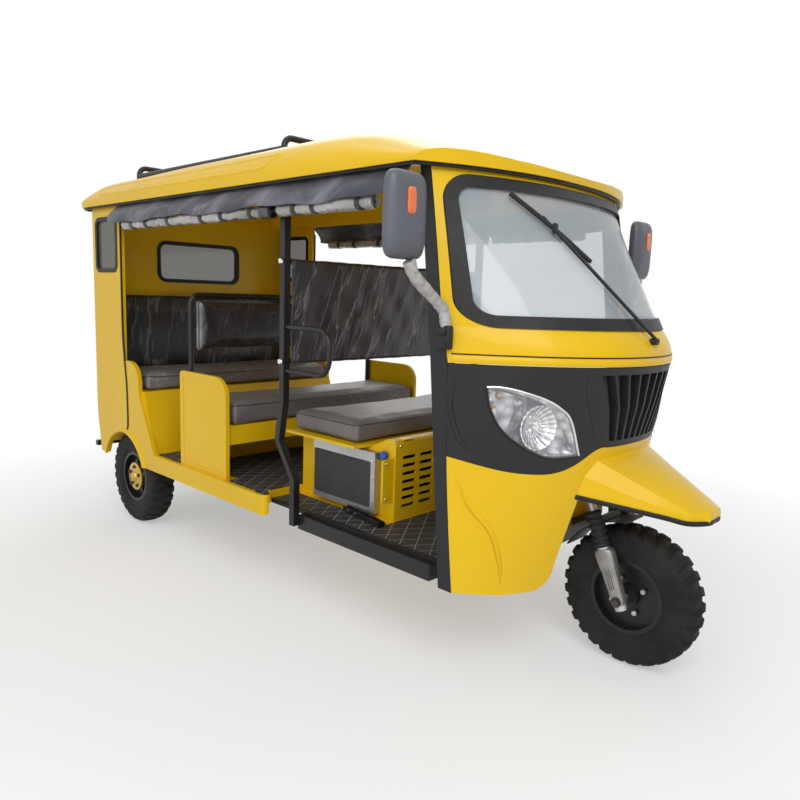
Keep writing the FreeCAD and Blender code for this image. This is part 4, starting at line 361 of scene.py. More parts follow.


# bright: the colour of the painted highlights along the creases
creaseSettings = {
    "valanceCloth": {
        "stretch": (0.55, 1.0, 1.0), "turn": (0, 0.6, 0), "cells": 6.5, "line": 0.30, "patches": 4.0,
        "rough": (0.42, 0.6),
        "tones": ((0.045, 0.048, 0.062), (0.080, 0.084, 0.105)), "bright": (0.20, 0.205, 0.235), "bump": 0.5,
        "depth": 0.010,
        "sparseHighlight": (0.40, 0.62), "shader": {"Specular IOR Level": 0.35},
    },
    "curtainSheet": {
        "stretch": (1.0, 2.2, 0.32), "turn": (0.30, 0, 0), "cells": 8.0, "line": 0.05, "patches": 5.0,
        "rough": (0.3, 0.45),
        "tones": ((0.030, 0.026, 0.028), (0.060, 0.052, 0.056)), "bright": (0.42, 0.41, 0.42), "bump": 0.6,
        "depth": 0.006,
        "sparseHighlight": (0.42, 0.66), "shader": {"Coat Weight": 0.3, "Coat Roughness": 0.25},
    },
    "rolledPlastic": {
        "stretch": (0.5, 1.0, 1.0), "cells": 14.0, "line": 0.06, "patches": 8.0, "rough": (0.16, 0.3),
        "tones": ((0.26, 0.25, 0.235), (0.62, 0.61, 0.60)), "bright": (0.92, 0.92, 0.92), "bump": 0.6,
        "depth": 0.006,
        "shader": {"Coat Weight": 0.8, "Coat Roughness": 0.1, "Transmission Weight": 0.25},
    },
}
for creasedName, settings in creaseSettings.items():
    finishes[creasedName] = creasedPlastic(creasedName, settings)


# bright: the colour of the painted highlights along the creases; edge: where the painted highlight on the pad's sides
# begins and where it is full
seatSettings = {
    "seatWrap": {
        "stretch": (1.0, 0.7, 1.0), "turn": (0, 0, 0.4), "cells": 6.5, "line": 0.022, "patches": 5.0,
        "rough": (0.44, 0.58),
        "tones": ((0.135, 0.122, 0.120), (0.205, 0.188, 0.186)), "bright": (0.46, 0.45, 0.45), "bump": 0.4,
        "depth": 0.008,
        "shader": {"Coat Weight": 0.15, "Coat Roughness": 0.3, "Specular IOR Level": 0.35},
    },
    "backWrap": {
        "stretch": (1.0, 1.5, 0.3), "turn": (0.12, 0, 0), "cells": 8.0, "line": 0.07, "patches": 5.0,
        "rough": (0.3, 0.45),
        "tones": ((0.008, 0.0075, 0.008), (0.024, 0.022, 0.023)), "bright": (0.17, 0.17, 0.175), "bump": 0.5,
        "depth": 0.008,
        "shader": {"Coat Weight": 0.3, "Coat Roughness": 0.2},
    },
    "padWrap": {
        "stretch": (1.0, 1.0, 0.8), "cells": 8.0, "line": 0.02, "patches": 9.0, "rough": (0.3, 0.45),
        "edge": (0.548, 0.580),
        "sparseHighlight": (0.62, 0.8), "tones": ((0.014, 0.012, 0.013), (0.030, 0.026, 0.028)),
        "bright": (0.60, 0.60, 0.61), "bump": 0.4, "depth": 0.008,
        "shader": {"Coat Weight": 0.3, "Coat Roughness": 0.2},
    },
}
for wrapName, settings in seatSettings.items():
    finishes[wrapName] = creasedPlastic(wrapName, settings)


def crossedLines(tree, along, across, slope, pitch):
    # distance, in shares of the pitch, to the nearer of two sets of lines: along plus or minus slope times across
    lines = []
    for lean in (slope, -slope):
        slant = mathOf(tree, "ADD", along, mathOf(tree, "MULTIPLY", across, lean))
        step = mathOf(tree, "FRACT", mathOf(tree, "DIVIDE", slant, pitch))
        lines.append(mathOf(tree, "ABSOLUTE", mathOf(tree, "SUBTRACT", step, 0.5)))
    return mathOf(tree, "MINIMUM", *lines)

def quiltedMat(name, settings):
    # black mat with pale lines that cross in diamonds: one wave along each slanting direction
    material, tree, shader = blankMaterial(name)
    place = objectSpace(tree)
    axes = axesOf(tree, place)
    nearest = crossedLines(tree, axes["X"], axes["Y"], settings["slope"], settings["pitch"])
    thread = spread(tree, nearest, 1.0, 0.0, 0.0, settings["line"])
    grain = noiseOf(tree, place, settings["grain"])
    base = blendOf(tree, grain, *settings["tones"])
    tree.links.new(blendOf(tree, thread, base, settings["thread"]), shader.inputs["Base Color"])
    tree.links.new(spread(tree, grain, *settings["rough"]), shader.inputs["Roughness"])
    puff = spread(tree, nearest, 0.0, 1.0, 0.0, settings["puff"])
    bumpOn(tree, shader, puff, settings["bump"], settings["depth"])
    return material

matFinish = {
    "pitch": 0.075, "slope": 0.7, "line": 0.035, "thread": (0.35, 0.34, 0.32), "grain": 60.0, "rough": (0.5, 0.7),
    "tones": ((0.018, 0.018, 0.019), (0.032, 0.032, 0.033)), "puff": 0.35, "bump": 0.8, "depth": 0.006,
}
finishes["quiltedMat"] = quiltedMat("quiltedMat", matFinish)

def fineMesh(name, settings):
    # dark screen: pale wires where one of two crossing waves is near its crest
    material, tree, shader = blankMaterial(name)
    place = objectSpace(tree)
    axes = axesOf(tree, place)
    level = mathOf(tree, "ADD", axes["X"], axes["Y"])
    nearest = crossedLines(tree, level, axes["Z"], 1.0, settings["pitch"])
    wire = spread(tree, nearest, 1.0, 0.0, 0.0, settings["line"])
    tree.links.new(blendOf(tree, wire, *settings["tones"]), shader.inputs["Base Color"])
    grain = noiseOf(tree, place, settings["grain"])
    tree.links.new(spread(tree, grain, *settings["rough"]), shader.inputs["Roughness"])
    bumpOn(tree, shader, wire, settings["bump"], settings["depth"])
    return material

meshFinish = {
    "pitch": 0.0115, "line": 0.17, "tones": ((0.006, 0.006, 0.007), (0.13, 0.13, 0.133)),
    "grain": 50.0, "rough": (0.4, 0.6), "bump": 0.8, "depth": 0.002,
}
finishes["meshDark"] = fineMesh("meshDark", meshFinish)

nodesByFinish = {
    "tyreRubber": ("front_tyre", "rear_tyre_left", "rear_tyre_right"),
    "frameBlack": (
        "front_wheel", "rear_wheel_left", "rear_wheel_right", "chassis_frame", "handlebar", "roof_rack",
        "hoop_frames", "wiper",
    ),
    "darkSteel": ("rear_axle", "exhaust"),
    "castAluminium": ("front_fork", "radiator"),
    "trimBlack": ("inner_mudguard", "headlamp_band", "grille", "front_posts", "dashboard"),
    "bodyYellow": (
        "front_cowl", "front_apron", "front_fender", "floor_pan", "quarter_panel_left", "quarter_panel_right",
        "rear_panel", "roof_shell", "engine_cover", "middle_seat_base", "rear_seat_base",
    ),
    "quiltedMat": ("floor_mats",),
    "lampLens": ("headlamps",),
    "sealRubber": ("window_seals",),
    "clearGlass": ("cabin_glass",),
    "seatWrap": ("driver_cushion", "middle_seat_cushion", "rear_seat_cushion"),
    "backWrap": ("middle_seat_back", "rear_seat_back"),
    "engineIron": ("engine_block",),
    "curtainSheet": ("driver_curtain",),
    "valanceCloth": ("side_curtains",),
    "greyPlastic": ("side_mirrors",),
    "redLamp": ("tail_lamps",),
}
for finishName, nodeNames in nodesByFinish.items():
    for nodeName in nodeNames:
        mesh = cadNodes[nodeName].data
        mesh.materials.clear()
        mesh.materials.append(finishes[finishName])
print("materials ready:", len(finishes))


# mesh helpers: shapes come as points and faces, worked out as arrays

def gridFaces(rows, columns, closeRows=False, closeColumns=False):
    # four corners of every cell of a grid, rows by columns, wrapped where it closes
    lastRow = rows if closeRows else rows - 1
    lastColumn = columns if closeColumns else columns - 1
    i, j = np.meshgrid(np.arange(lastRow), np.arange(lastColumn), indexing="ij")
    below, beside = (i + 1) % rows, (j + 1) % columns
    corners = [i * columns + j, below * columns + j, below * columns + beside, i * columns + beside]
    return np.stack(corners, -1).reshape(-1, 4)


def joined(parts):
    # several shapes as one: their points in a row, the faces moved on by the points before them
    points = [np.asarray(part[0], float).reshape(-1, 3) for part in parts]
    starts = np.concatenate([[0], np.cumsum([len(item) for item in points])[:-1]])
    faces = [np.asarray(part[1]) + start for start, part in zip(starts, parts)]
    return np.concatenate(points), np.concatenate(faces)

def unit(vectors):
    return vectors / np.linalg.norm(vectors, axis=-1, keepdims=True)


def smoothPath(corners, samples):
    # one curve through the corners: a Catmull-Rom cubic between each pair
    p = np.asarray(corners, float)
    p = np.vstack([2 * p[0] - p[1], p, 2 * p[-1] - p[-2]])
    t = np.linspace(0, len(corners) - 1, samples)
    i = np.minimum(t.astype(int), len(corners) - 2)
    f = (t - i)[:, None]
    a, b, c, d = p[i], p[i + 1], p[i + 2], p[i + 3]
    return 0.5 * (2 * b + (c - a) * f + (2 * a - 5 * b + 4 * c - d) * f ** 2 + (3 * b - a - 3 * c + d) * f ** 3)


def capped(rings):
    # rings in a row, closed at each end by one drawn together at its middle
    rings = np.asarray(rings, float)
    ends = [np.broadcast_to(rings[k].mean(0), (1, *rings[k].shape)) for k in (0, -1)]
    rings = np.concatenate([ends[0], rings, ends[1]])
    return rings, gridFaces(len(rings), rings.shape[1], False, True)

def sweep(path, section, up=(0, 0, 1), closed=False, size=1.0):
    # the section, times its size there, carried along: its first value goes across the path, its second along up
    path = np.asarray(path, float)
    along = np.roll(path, -1, 0) - np.roll(path, 1, 0) if closed else np.gradient(path, axis=0)
    along = unit(along)
    across = unit(np.cross(along, np.broadcast_to(np.asarray(up, float), along.shape)))
    lift = np.cross(across, along)
    section = np.asarray(section, float)
    size = np.broadcast_to(size, len(path))[:, None, None]
    rings = path[:, None] + size * (section[None, :, :1] * across[:, None] + section[None, :, 1:] * lift[:, None])
    if closed:
        return rings, gridFaces(len(path), len(section), True, True)
    return capped(rings)


def ringSection(radius, count=14):
    # a circle: radius times the cosine and sine of evenly spread angles
    angle = np.linspace(0, 2 * np.pi, count, endpoint=False)
    return np.stack([radius * np.cos(angle), radius * np.sin(angle)], 1)


def tube(corners, radius, samples=40, ring=14):
    return sweep(smoothPath(corners, samples), ringSection(radius, ring))


def turned(profile, centre, axis=(0, 1, 0), ring=40):
    # a profile of radius and height, turned about an axis through the centre
    profile = np.asarray(profile, float)
    axis = unit(np.asarray(axis, float))
    helper = np.array([1.0, 0, 0]) if abs(axis[0]) < 0.9 else np.array([0, 0, 1.0])
    first = unit(np.cross(axis, helper))
    second = np.cross(axis, first)
    angle = np.linspace(0, 2 * np.pi, ring, endpoint=False)[None, :, None]
    around = first * np.cos(angle) + second * np.sin(angle)
    points = np.asarray(centre) + profile[:, 1][:, None, None] * axis + profile[:, 0][:, None, None] * around
    return points, gridFaces(len(profile), ring, False, True)


def nut(centre, axis, radius, height):
    # six flats with a crowned face
    profile = [(0, 0), (radius, 0), (radius, height * 0.75), (radius * 0.82, height), (0, height)]
    return turned(profile, centre, axis, 6)


def roundBlock(low, high, radius, rows=12, columns=24):
    # a corner of the inner box, picked by the ball's direction, plus the radius times that direction
    low, high = np.asarray(low, float), np.asarray(high, float)
    centre, half = (low + high) / 2, (high - low) / 2
    u = np.concatenate([[-0.5], (np.arange(rows) + 0.5) / rows - 0.5, [0.5]]) * np.pi
    v = (np.arange(columns) + 0.5) / columns * 2 * np.pi
    flat = np.cos(u)[:, None]
    ball = np.stack([flat * np.cos(v), flat * np.sin(v), np.sin(u)[:, None] * np.ones_like(v)], -1)
    points = centre + np.where(ball >= 0, 1.0, -1.0) * (half - radius) + ball * radius
    return capped(points)

def blockAt(centre, half, radius, rows=12, columns=24):
    return roundBlock(np.subtract(centre, half), np.add(centre, half), radius, rows, columns)

def superOutline(halfWide, halfHigh, power=4.0, count=48, centre=(0, 0)):
    # a rounded rectangle: cosine and sine drawn towards the corners by the power
    angle = np.linspace(0, 2 * np.pi, count, endpoint=False)
    c, s = np.cos(angle), np.sin(angle)
    x = halfWide * np.sign(c) * np.abs(c) ** (2 / power) + centre[0]
    y = halfHigh * np.sign(s) * np.abs(s) ** (2 / power) + centre[1]
    return np.stack([x, y], 1)


def stacked(outline, levels, origin, across, up):
    # one outline at several levels, each with its own scale, closed at both ends
    outline = np.asarray(outline, float)
    across, up = np.asarray(across, float), np.asarray(up, float)
    outward = np.cross(across, up)
    middle = outline.mean(0)
    rings = []
    for scale, height in levels:
        flat = middle + (outline - middle) * scale
        rings.append(np.asarray(origin) + flat[:, :1] * across + flat[:, 1:] * up + height * outward)
    return np.stack(rings), gridFaces(len(rings), len(outline), False, True)


def plate(outline, thickness, origin, across, up, bevel=0.94):
    # a flat plate with a worn edge: centre, narrowed rim, full rim, and the same on the other face
    half = thickness / 2
    edge = half * 0.5
    levels = [(0, half), (bevel, half), (1, edge), (1, -edge), (bevel, -half), (0, -half)]
    return stacked(outline, levels, origin, across, up)


def mirroredParts(parts):
    # the same shapes on the other side, with their faces turned round
    flipped = []
    for points, faces in parts:
        flipped.append((np.asarray(points, float).reshape(-1, 3) * (1, -1, 1), np.asarray(faces)[:, ::-1]))
    return flipped

def makePiece(name, points, faces, finish, body, stands=()):
    mesh = bpy.data.meshes.new(name)
    mesh.from_pydata(np.asarray(points).reshape(-1, 3).tolist(), [], np.asarray(faces).tolist())
    mesh.polygons.foreach_set("use_smooth", np.ones(len(mesh.polygons), bool))
    mesh.materials.append(finishes[finish])
    mesh.update()
    piece = bpy.data.objects.new(name, mesh)
    bpy.context.scene.collection.objects.link(piece)
    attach(piece, body)
    if stands:
        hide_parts(*stands)
    return piece


def cleaned(piece, angle=40, closed=True):
    # seams and poles merged, faces turned outwards, and edges over the angle kept sharp
    cleaner = bmesh.new()
    cleaner.from_mesh(piece.data)
    bmesh.ops.remove_doubles(cleaner, verts=cleaner.verts, dist=1e-6)
    bmesh.ops.dissolve_degenerate(cleaner, edges=cleaner.edges, dist=1e-7)
    if closed:
        bmesh.ops.recalc_face_normals(cleaner, faces=cleaner.faces)
    cleaner.to_mesh(piece.data)
    cleaner.free()
    piece.data.set_sharp_from_angle(angle=np.radians(angle))
    return piece


def addPiece(name, parts, finish, body="vehicle_body", stands=(), angle=40):
    points, faces = joined(parts)
    return cleaned(makePiece(name, points, faces, finish, body, stands), angle)


def walled(piece, thickness, offset):
    # a thin wall on an open surface: behind it at minus one, on both sides of it at nought
    wall = piece.modifiers.new("wall", "SOLIDIFY")
    wall.thickness = thickness
    wall.offset = offset
    return piece

def addSheet(name, grid, finish, thickness, stands=()):
    # an open grid of cloth with a thin wall given to it
    piece = makePiece(name, grid, gridFaces(*grid.shape[:2]), finish, "vehicle_body", stands)
    walled(piece, thickness, 0)
    return piece

# tyres: a section turned about the axle, with lugs raised on the crown

tyreSettings = {
    "radius": 0.2595, "half": 0.0645, "bead": 0.136, "lug": 0.0115, "around": 480, "lugs": 28, "across": 61,
}


def tyrePoints(settings, centre):
    # section: superellipse from bead to bead; the radius grows by the lug height inside each lug
    across = np.linspace(-1, 1, settings["across"])
    turn = np.linspace(0, 2 * np.pi, settings["around"], endpoint=False)
    angle = np.sign(across) * np.abs(across) ** 0.9 * np.pi * 0.74
    middle = (settings["radius"] + settings["bead"]) / 2
    reach = settings["radius"] - settings["lug"] - middle
    bend = np.abs(np.cos(angle)) ** 0.62
    inward = (middle - settings["bead"]) * bend / bend[0]
    radial = middle + np.where(np.cos(angle) > 0, reach * bend, -inward)
    wide = settings["half"] * np.sign(np.sin(angle)) * np.abs(np.sin(angle)) ** 0.72
    phase = turn[:, None] * settings["lugs"] / (2 * np.pi)
    y = wide[None, :] / settings["half"]
    leftPhase = np.abs((phase + 0.30 * y) % 1 - 0.5)
    rightPhase = np.abs((phase + 0.5 - 0.30 * y) % 1 - 0.5)
    left = np.clip((0.33 - leftPhase) * 16, 0, 1) * np.clip((y - 0.13) * 18, 0, 1)
    right = np.clip((0.33 - rightPhase) * 16, 0, 1) * np.clip((-y - 0.13) * 18, 0, 1)
    rib = np.abs(y - 0.05 * np.sin(phase * 2 * np.pi))
    crown = np.clip((0.055 - rib) * 40, 0, 1)
    outer = np.clip((radial[None, :] - (middle + reach * 0.30)) / (reach * 0.2), 0, 1)
    lug = settings["lug"] * np.maximum(np.maximum(left, right), crown) * outer
    r = radial[None, :] + lug
    x = r * np.cos(turn)[:, None] + centre[0]
    z = r * np.sin(turn)[:, None] + centre[2]
    return np.stack([x, np.broadcast_to(wide, r.shape) + centre[1], z], -1)


def makeTyre(name, centre, body, node):
    points = tyrePoints(tyreSettings, centre)
    rows, columns = points.shape[:2]
    faces = gridFaces(rows, columns, True, True)[:, ::-1]
    return makePiece(name, points, faces, "tyreRubber", body, (node,))


rearWheelY = 0.58
makeTyre("frontTyreLugged", (frontAxle, 0, axleHeight), "front_wheel_set", "front_tyre")
makeTyre("rearTyreLuggedLeft", (rearAxle, rearWheelY, axleHeight), "rear_wheel_set_left", "rear_tyre_left")
makeTyre("rearTyreLuggedRight", (rearAxle, -rearWheelY, axleHeight), "rear_wheel_set_right", "rear_tyre_right")


# wheel hubs: a brass cap over each rear hub with a nut on every boss, and nuts on the front wheel

hubSettings = {"radius": 0.078, "depth": 0.022, "pitch": 0.056, "nuts": 5, "nut": 0.0105, "nutHeight": 0.010}


def circleSpots(centre, radius, count, start=0.0):
    angle = np.linspace(0, 2 * np.pi, count, endpoint=False) + start
    zero = np.zeros(count)
    return np.asarray(centre) + radius * np.stack([np.cos(angle), zero, np.sin(angle)], 1)


def rearHub(name, side, body, node):
    low, high = np.asarray(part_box(node), float)
    face = high[1] if side > 0 else low[1]
    s = hubSettings
    centre = (rearAxle, face, axleHeight)
    rim = s["radius"]
    boss = [(0, 0.014), (0.020, 0.014), (0.025, 0.010), (0.029, 0.0035), (0.036, 0.0012)]
    profile = boss + [(rim * 0.9, 0.0012), (rim, -0.003), (rim, -s["depth"]), (0, -s["depth"])]
    addPiece(name, [turned(profile, centre, (0, side, 0))], "brassHub", body)
    spots = circleSpots(centre, s["pitch"], s["nuts"], 0.3)
    nuts = [nut(spot, (0, side, 0), s["nut"], s["nutHeight"]) for spot in spots]
    addPiece(name + "Nuts", nuts, "darkSteel", body)


rearHub("rearHubLeft", 1, "rear_wheel_set_left", "rear_wheel_left")
rearHub("rearHubRight", -1, "rear_wheel_set_right", "rear_wheel_right")
frontNutSettings = {"y": 0.030, "pitch": 0.066, "count": 4, "start": 0.5, "radius": 0.011, "height": 0.009}
frontNuts = []
for side in (1, -1):
    s = frontNutSettings
    for spot in circleSpots((frontAxle, s["y"] * side, axleHeight), s["pitch"], s["count"], s["start"]):
        frontNuts.append(nut(spot, (0, side, 0), s["radius"], s["height"]))
addPiece("frontWheelNuts", frontNuts, "castAluminium", "front_wheel_set")


# fork: rubber boots over the stanchions, nuts on the axle and ribs on the sliders

steerFoot = np.array([1.41958, 0, 0.24242])
steerUp = np.array([-0.390731, 0, 0.920505])
steerAhead = np.array([0.920505, 0, 0.390731])
forkSettings = {
    "ahead": 0.045, "legY": 0.098, "low": 0.196, "high": 0.331, "mean": 0.0286, "swing": 0.0032, "ribs": 6,
    "slider": 0.0242, "nut": 0.0145,
}


def onHead(up, ahead, left):
    return steerFoot + steerUp * up + steerAhead * ahead + np.array([0, left, 0])


def forkBoot(side):
    # radius: the mean less the swing times the cosine of the ribs passed
    s = forkSettings
    t = np.linspace(0, 1, s["ribs"] * 10 + 1)
    radius = s["mean"] - s["swing"] * np.cos(2 * np.pi * s["ribs"] * t)
    height = t * (s["high"] - s["low"])
    profile = [(0, height[0])] + list(zip(radius, height)) + [(0, height[-1])]
    return turned(profile, onHead(s["low"], s["ahead"], s["legY"] * side), steerUp, 32)


boots = [forkBoot(1), forkBoot(-1)]
addPiece("forkBoots", boots, "bootRubber", "steering")
sliderLevels = [
    (-0.028, 0.010, 0.010), (-0.024, 0.019, 0.019), (0.0, 0.0250, 0.0238), (0.045, 0.0262, 0.0240), (0.100, 0.0290, 0.0246),
    (0.145, 0.0345, 0.0262), (0.172, 0.0355, 0.0268), (0.184, 0.0330, 0.0264), (0.190, 0.0260, 0.0250),
]


def forkSlider(side):
    # a cast leg: rounded rectangles across the fork's line, wider towards the boot
    rings = []
    for up, ahead, left in sliderLevels:
        flat = superOutline(ahead, left, 3.2, 32)
        middle = onHead(up, forkSettings["ahead"], forkSettings["legY"] * side)
        rings.append(middle + flat[:, :1] * steerAhead + flat[:, 1:] * np.array([0, 1.0, 0]))
    return capped(rings)


addPiece("forkSliders", [forkSlider(1), forkSlider(-1)], "forkCast", "steering", angle=50)
axleNuts = []
sliderRibs = []
for side in (1, -1):
    outside = forkSettings["legY"] + forkSettings["slider"]
    place = (frontAxle, outside * side, axleHeight)
    axleNuts.append(turned([(0, 0), (0.019, 0), (0.019, 0.003), (0, 0.003)], place, (0, side, 0), 28))
    axleNuts.append(nut((frontAxle, (outside + 0.003) * side, axleHeight), (0, side, 0), forkSettings["nut"], 0.011))
    for ahead in (-0.008, 0.0, 0.008):
        low = onHead(0.045, forkSettings["ahead"] + ahead, (outside - 0.0005) * side)
        high = onHead(0.150, forkSettings["ahead"] + ahead, (outside - 0.0005) * side)
        sliderRibs.append(tube([low, (low + high) / 2, high], 0.0017, 12, 8))
addPiece("frontAxleNuts", axleNuts, "darkSteel", "steering")
addPiece("forkSliderRibs", sliderRibs, "darkSteel", "steering")
print("wheels and fork ready")


# cab front: trims that lie on its curved surface

frontShape = {"half": 0.630, "reach": 0.268, "setback": 0.4235, "power": 2.2, "belt": 1.104}
lowerRows = np.array([(0.312, -0.46, 0.52), (0.576, -0.29, 0.70), (0.840, -0.12, 0.86), (1.104, 0.07, 1.0)])
waistRows = np.array([(1.104, 0.07, 1.0), (1.1645, 0.05, 1.02), (1.225, -0.11, 0.96)])
lowerCurves = [np.polyfit(lowerRows[:, 0], lowerRows[:, k], 3) for k in (1, 2)]
waistCurves = [np.polyfit(waistRows[:, 0], waistRows[:, k], 2) for k in (1, 2)]


def onFront(y, z, proud=0.0):
    # x: the nose's place at that height, less the set-back times a power of the share of the half width
    y, z = np.broadcast_arrays(np.asarray(y, float), np.asarray(z, float))
    waist = z > frontShape["belt"]
    middle = np.where(waist, np.polyval(waistCurves[0], z), np.polyval(lowerCurves[0], z))
    back = np.where(waist, np.polyval(waistCurves[1], z), np.polyval(lowerCurves[1], z))
    bend = np.abs(y / frontShape["half"]) ** frontShape["power"]
    x = frontAxle + middle * frontShape["reach"] - back * frontShape["setback"] * bend + proud
    return np.stack([x, y, z], -1)


def ridgeSection(width, height):
    # a low crowned bead, its foot sunk a little below the surface
    share = np.linspace(-1, 1, 9)
    crown = np.stack([share * width / 2, height * (1 - share ** 2)], 1)
    return np.vstack([crown, [(width / 2, -0.002), (-width / 2, -0.002)]])


def frontRidge(corners, width, height, samples=60, fade=0.0):
    # a bead on the front's surface, whose ends run out over the given share of its length
    flat = smoothPath(corners, samples)
    t = np.linspace(0, 1, samples)
    size = np.clip(np.minimum(t, 1 - t) / fade, 0.02, 1) ** 0.7 if fade else 1.0
    return sweep(onFront(flat[:, 0], flat[:, 1]), ridgeSection(width, height), (1, 0, 0), size=size)


def bothSides(parts):
    return parts + mirroredParts(parts)


beltHalf = 0.622
beltRow = [(beltHalf * share, 1.0) for share in (-1.0, -0.6, -0.2, 0.2, 0.6, 1.0)]
addPiece("beltLip", [frontRidge([(y, 1.119) for y, share in beltRow], 0.024, 0.0035)], "bodyYellow")
addPiece("beltSeam", [frontRidge([(y, 1.1365) for y, share in beltRow], 0.005, 0.0018)], "sealRubber")
bandCrescents = [
    frontRidge([(0.612, 1.062), (0.622, 0.983), (0.616, 0.917), (0.600, 0.852), (0.572, 0.806)], 0.020, 0.006, fade=0.3),
    frontRidge([(0.306, 1.098), (0.296, 1.02), (0.262, 0.93), (0.222, 0.842)], 0.008, 0.003, fade=0.15),
]
addPiece("bandCreases", bothSides(bandCrescents), "trimBlack")
apronPath = [(0.612, 0.735), (0.578, 0.64), (0.521, 0.548), (0.492, 0.44), (0.486, 0.345)]
apronCreases = [frontRidge(apronPath, 0.030, 0.0032, fade=0.3)]
addPiece("apronCreases", bothSides(apronCreases), "bodyYellow")


# headlamps: a clear lens over a faceted bowl with a round reflector, small bulbs and a bright rim

lampUpperShare = (
    (0.452, -0.105), (0.527, 0.357), (0.590, 0.526), (0.660, 0.635), (0.760, 0.729), (0.832, 0.771),
    (0.876, 0.767),
)
lampLowerShare = (
    (0.452, -0.105), (0.597, -0.124), (0.683, -0.045), (0.757, 0.083), (0.819, 0.256), (0.859, 0.504),
    (0.876, 0.767),
)
lampSettings = {
    "width": 0.630, "low": 0.830, "height": 0.264, "rows": 40, "columns": 24, "bulge": 0.009, "depth": 0.058,
    "dishY": 0.414, "dishZ": 0.899, "dish": 0.072, "inner": 0.012,
}


def lampOutline(shares, samples):
    flat = smoothPath(shares, samples)
    s = lampSettings
    return np.stack([flat[:, 0] * s["width"], s["low"] + flat[:, 1] * s["height"]], 1)


def lampPatch(inset, bulge, proud, power):
    # rows between the two corners, columns from the upper curve to the lower, swelling by sines to the bulge
    s = lampSettings
    upper = lampOutline(lampUpperShare, s["rows"])[:, None]
    lower = lampOutline(lampLowerShare, s["rows"])[:, None]
    v = np.linspace(0, 1, s["columns"])[None, :, None]
    flat = upper * (1 - v) + lower * v
    middle = flat.reshape(-1, 2).mean(0)
    flat = middle + (flat - middle) * (1 - inset)
    u = np.linspace(0, 1, s["rows"])[:, None]
    swell = (np.sin(np.pi * u) * np.sin(np.pi * v[..., 0])) ** power
    points = onFront(flat[..., 0], flat[..., 1], proud)
    points[..., 0] += bulge * swell
    return points


def patchPiece(name, points, finish, thickness, stands=()):
    rows, columns = points.shape[:2]
    sides = [(points, gridFaces(rows, columns)), (points * (1, -1, 1), gridFaces(rows, columns)[:, ::-1])]
    allPoints, faces = joined(sides)
    piece = cleaned(makePiece(name, allPoints, faces, finish, "vehicle_body", stands), 35, False)
    wall = piece.modifiers.new("wall", "SOLIDIFY")
    wall.thickness = thickness
    wall.offset = -1
    return piece


lens = lampPatch(0.0, lampSettings["bulge"], 0.003, 0.7)
bowl = lampPatch(0.03, -lampSettings["depth"], -0.003, 0.22)
patchPiece("lampLenses", lens, "lampLens", 0.0025, ("headlamps",))
patchPiece("lampBowls", bowl, "lampBowl", 0.0015)
housing = lampPatch(-0.02, -lampSettings["depth"] - 0.004, -0.010, 0.22)
patchPiece("lampHousings", housing, "trimBlack", 0.003)
lampParts = {"rims": [], "gaskets": [], "dishes": [], "bulbs": [], "caps": []}
upperEdge = lampOutline(lampUpperShare, 60)
lowerEdge = lampOutline(lampLowerShare, 60)
lampParts["rims"].append(sweep(onFront(upperEdge[:, 0], upperEdge[:, 1], 0.001), ringSection(0.0042), (1, 0, 0)))
lampParts["gaskets"].append(sweep(onFront(lowerEdge[:, 0], lowerEdge[:, 1], 0.0), ringSection(0.0048), (1, 0, 0)))
dishRadius = lampSettings["dish"]
dishCentre = onFront(lampSettings["dishY"], lampSettings["dishZ"], -0.008)
share = np.linspace(0, 1, 16)
dishProfile = [(dishRadius * 1.06, -0.006), (dishRadius * 1.06, 0.0), (dishRadius, 0.001)]
dishProfile += [(dishRadius * (1 - 0.84 * t), -0.028 * (1 - (1 - t) ** 2)) for t in share[1:]]
dishProfile += [(0, -0.028)]
dishAxis = (0.945, 0.326, 0.0)
lampParts["dishes"].append(turned(dishProfile, dishCentre, dishAxis, 48))
capCentre = np.asarray(dishCentre) + unit(np.array(dishAxis)) * -0.028
capProfile = [(0, 0), (0.0125, 0), (0.0135, 0.012), (0.011, 0.020), (0.0045, 0.023), (0, 0.023)]
lampParts["caps"].append(turned(capProfile, capCentre, dishAxis, 28))
for y, z in ((0.508, 1.004), (0.524, 0.968)):
    bulbCentre = onFront(y, z, -0.024)
    bulbProfile = [(0, -0.008), (0.006, -0.008), (0.0075, 0.0), (0.0072, 0.008), (0.0045, 0.0135), (0, 0.015)]
    lampParts["bulbs"].append(turned(bulbProfile, bulbCentre, (1, 0, 0), 20))
    holderProfile = [(0, -0.012), (0.013, -0.012), (0.0145, -0.004), (0.0095, -0.004), (0, -0.006)]
    lampParts["caps"].append(turned(holderProfile, bulbCentre, (1, 0, 0), 24))
for index in range(9):
    along = 0.10 + 0.07 * index
    spot = lowerEdge[int(along * 59)] * 0.93 + np.array([0.414, 0.905]) * 0.07
    low = onFront(spot[0], spot[1], -0.016) - (0.004, 0.006, 0.006)
    lampParts["caps"].append(roundBlock(low, low + (0.008, 0.012, 0.012), 0.0025, 4, 8))
addPiece("lampRims", bothSides(lampParts["rims"]), "brightTrim")
addPiece("lampGaskets", bothSides(lampParts["gaskets"]), "sealRubber")
addPiece("lampReflectors", bothSides(lampParts["dishes"]), "lampDish", angle=30)
addPiece("lampCaps", bothSides(lampParts["caps"]), "brightTrim")
addPiece("lampBulbs", bothSides(lampParts["bulbs"]), "amberGlass")
print("headlamps ready")


# grille: a dark fine screen behind its slats

def grilleScreen():
    # straight sides between the grille's top and low half widths, on the front's surface moved back
    z = np.linspace(0.842, 1.084, 24)[:, None]
    half = np.interp(z, (0.842, 1.084), (0.186, 0.276))
    y = half * np.linspace(-1, 1, 40)[None, :]
    return onFront(y, np.broadcast_to(z, y.shape), -0.033)


screenGrid = grilleScreen()
screenFaces = gridFaces(*screenGrid.shape[:2])[:, ::-1]
screenPiece = makePiece("grilleScreen", screenGrid, screenFaces, "meshDark", "vehicle_body")
screenWall = screenPiece.modifiers.new("wall", "SOLIDIFY")
screenWall.thickness = 0.002

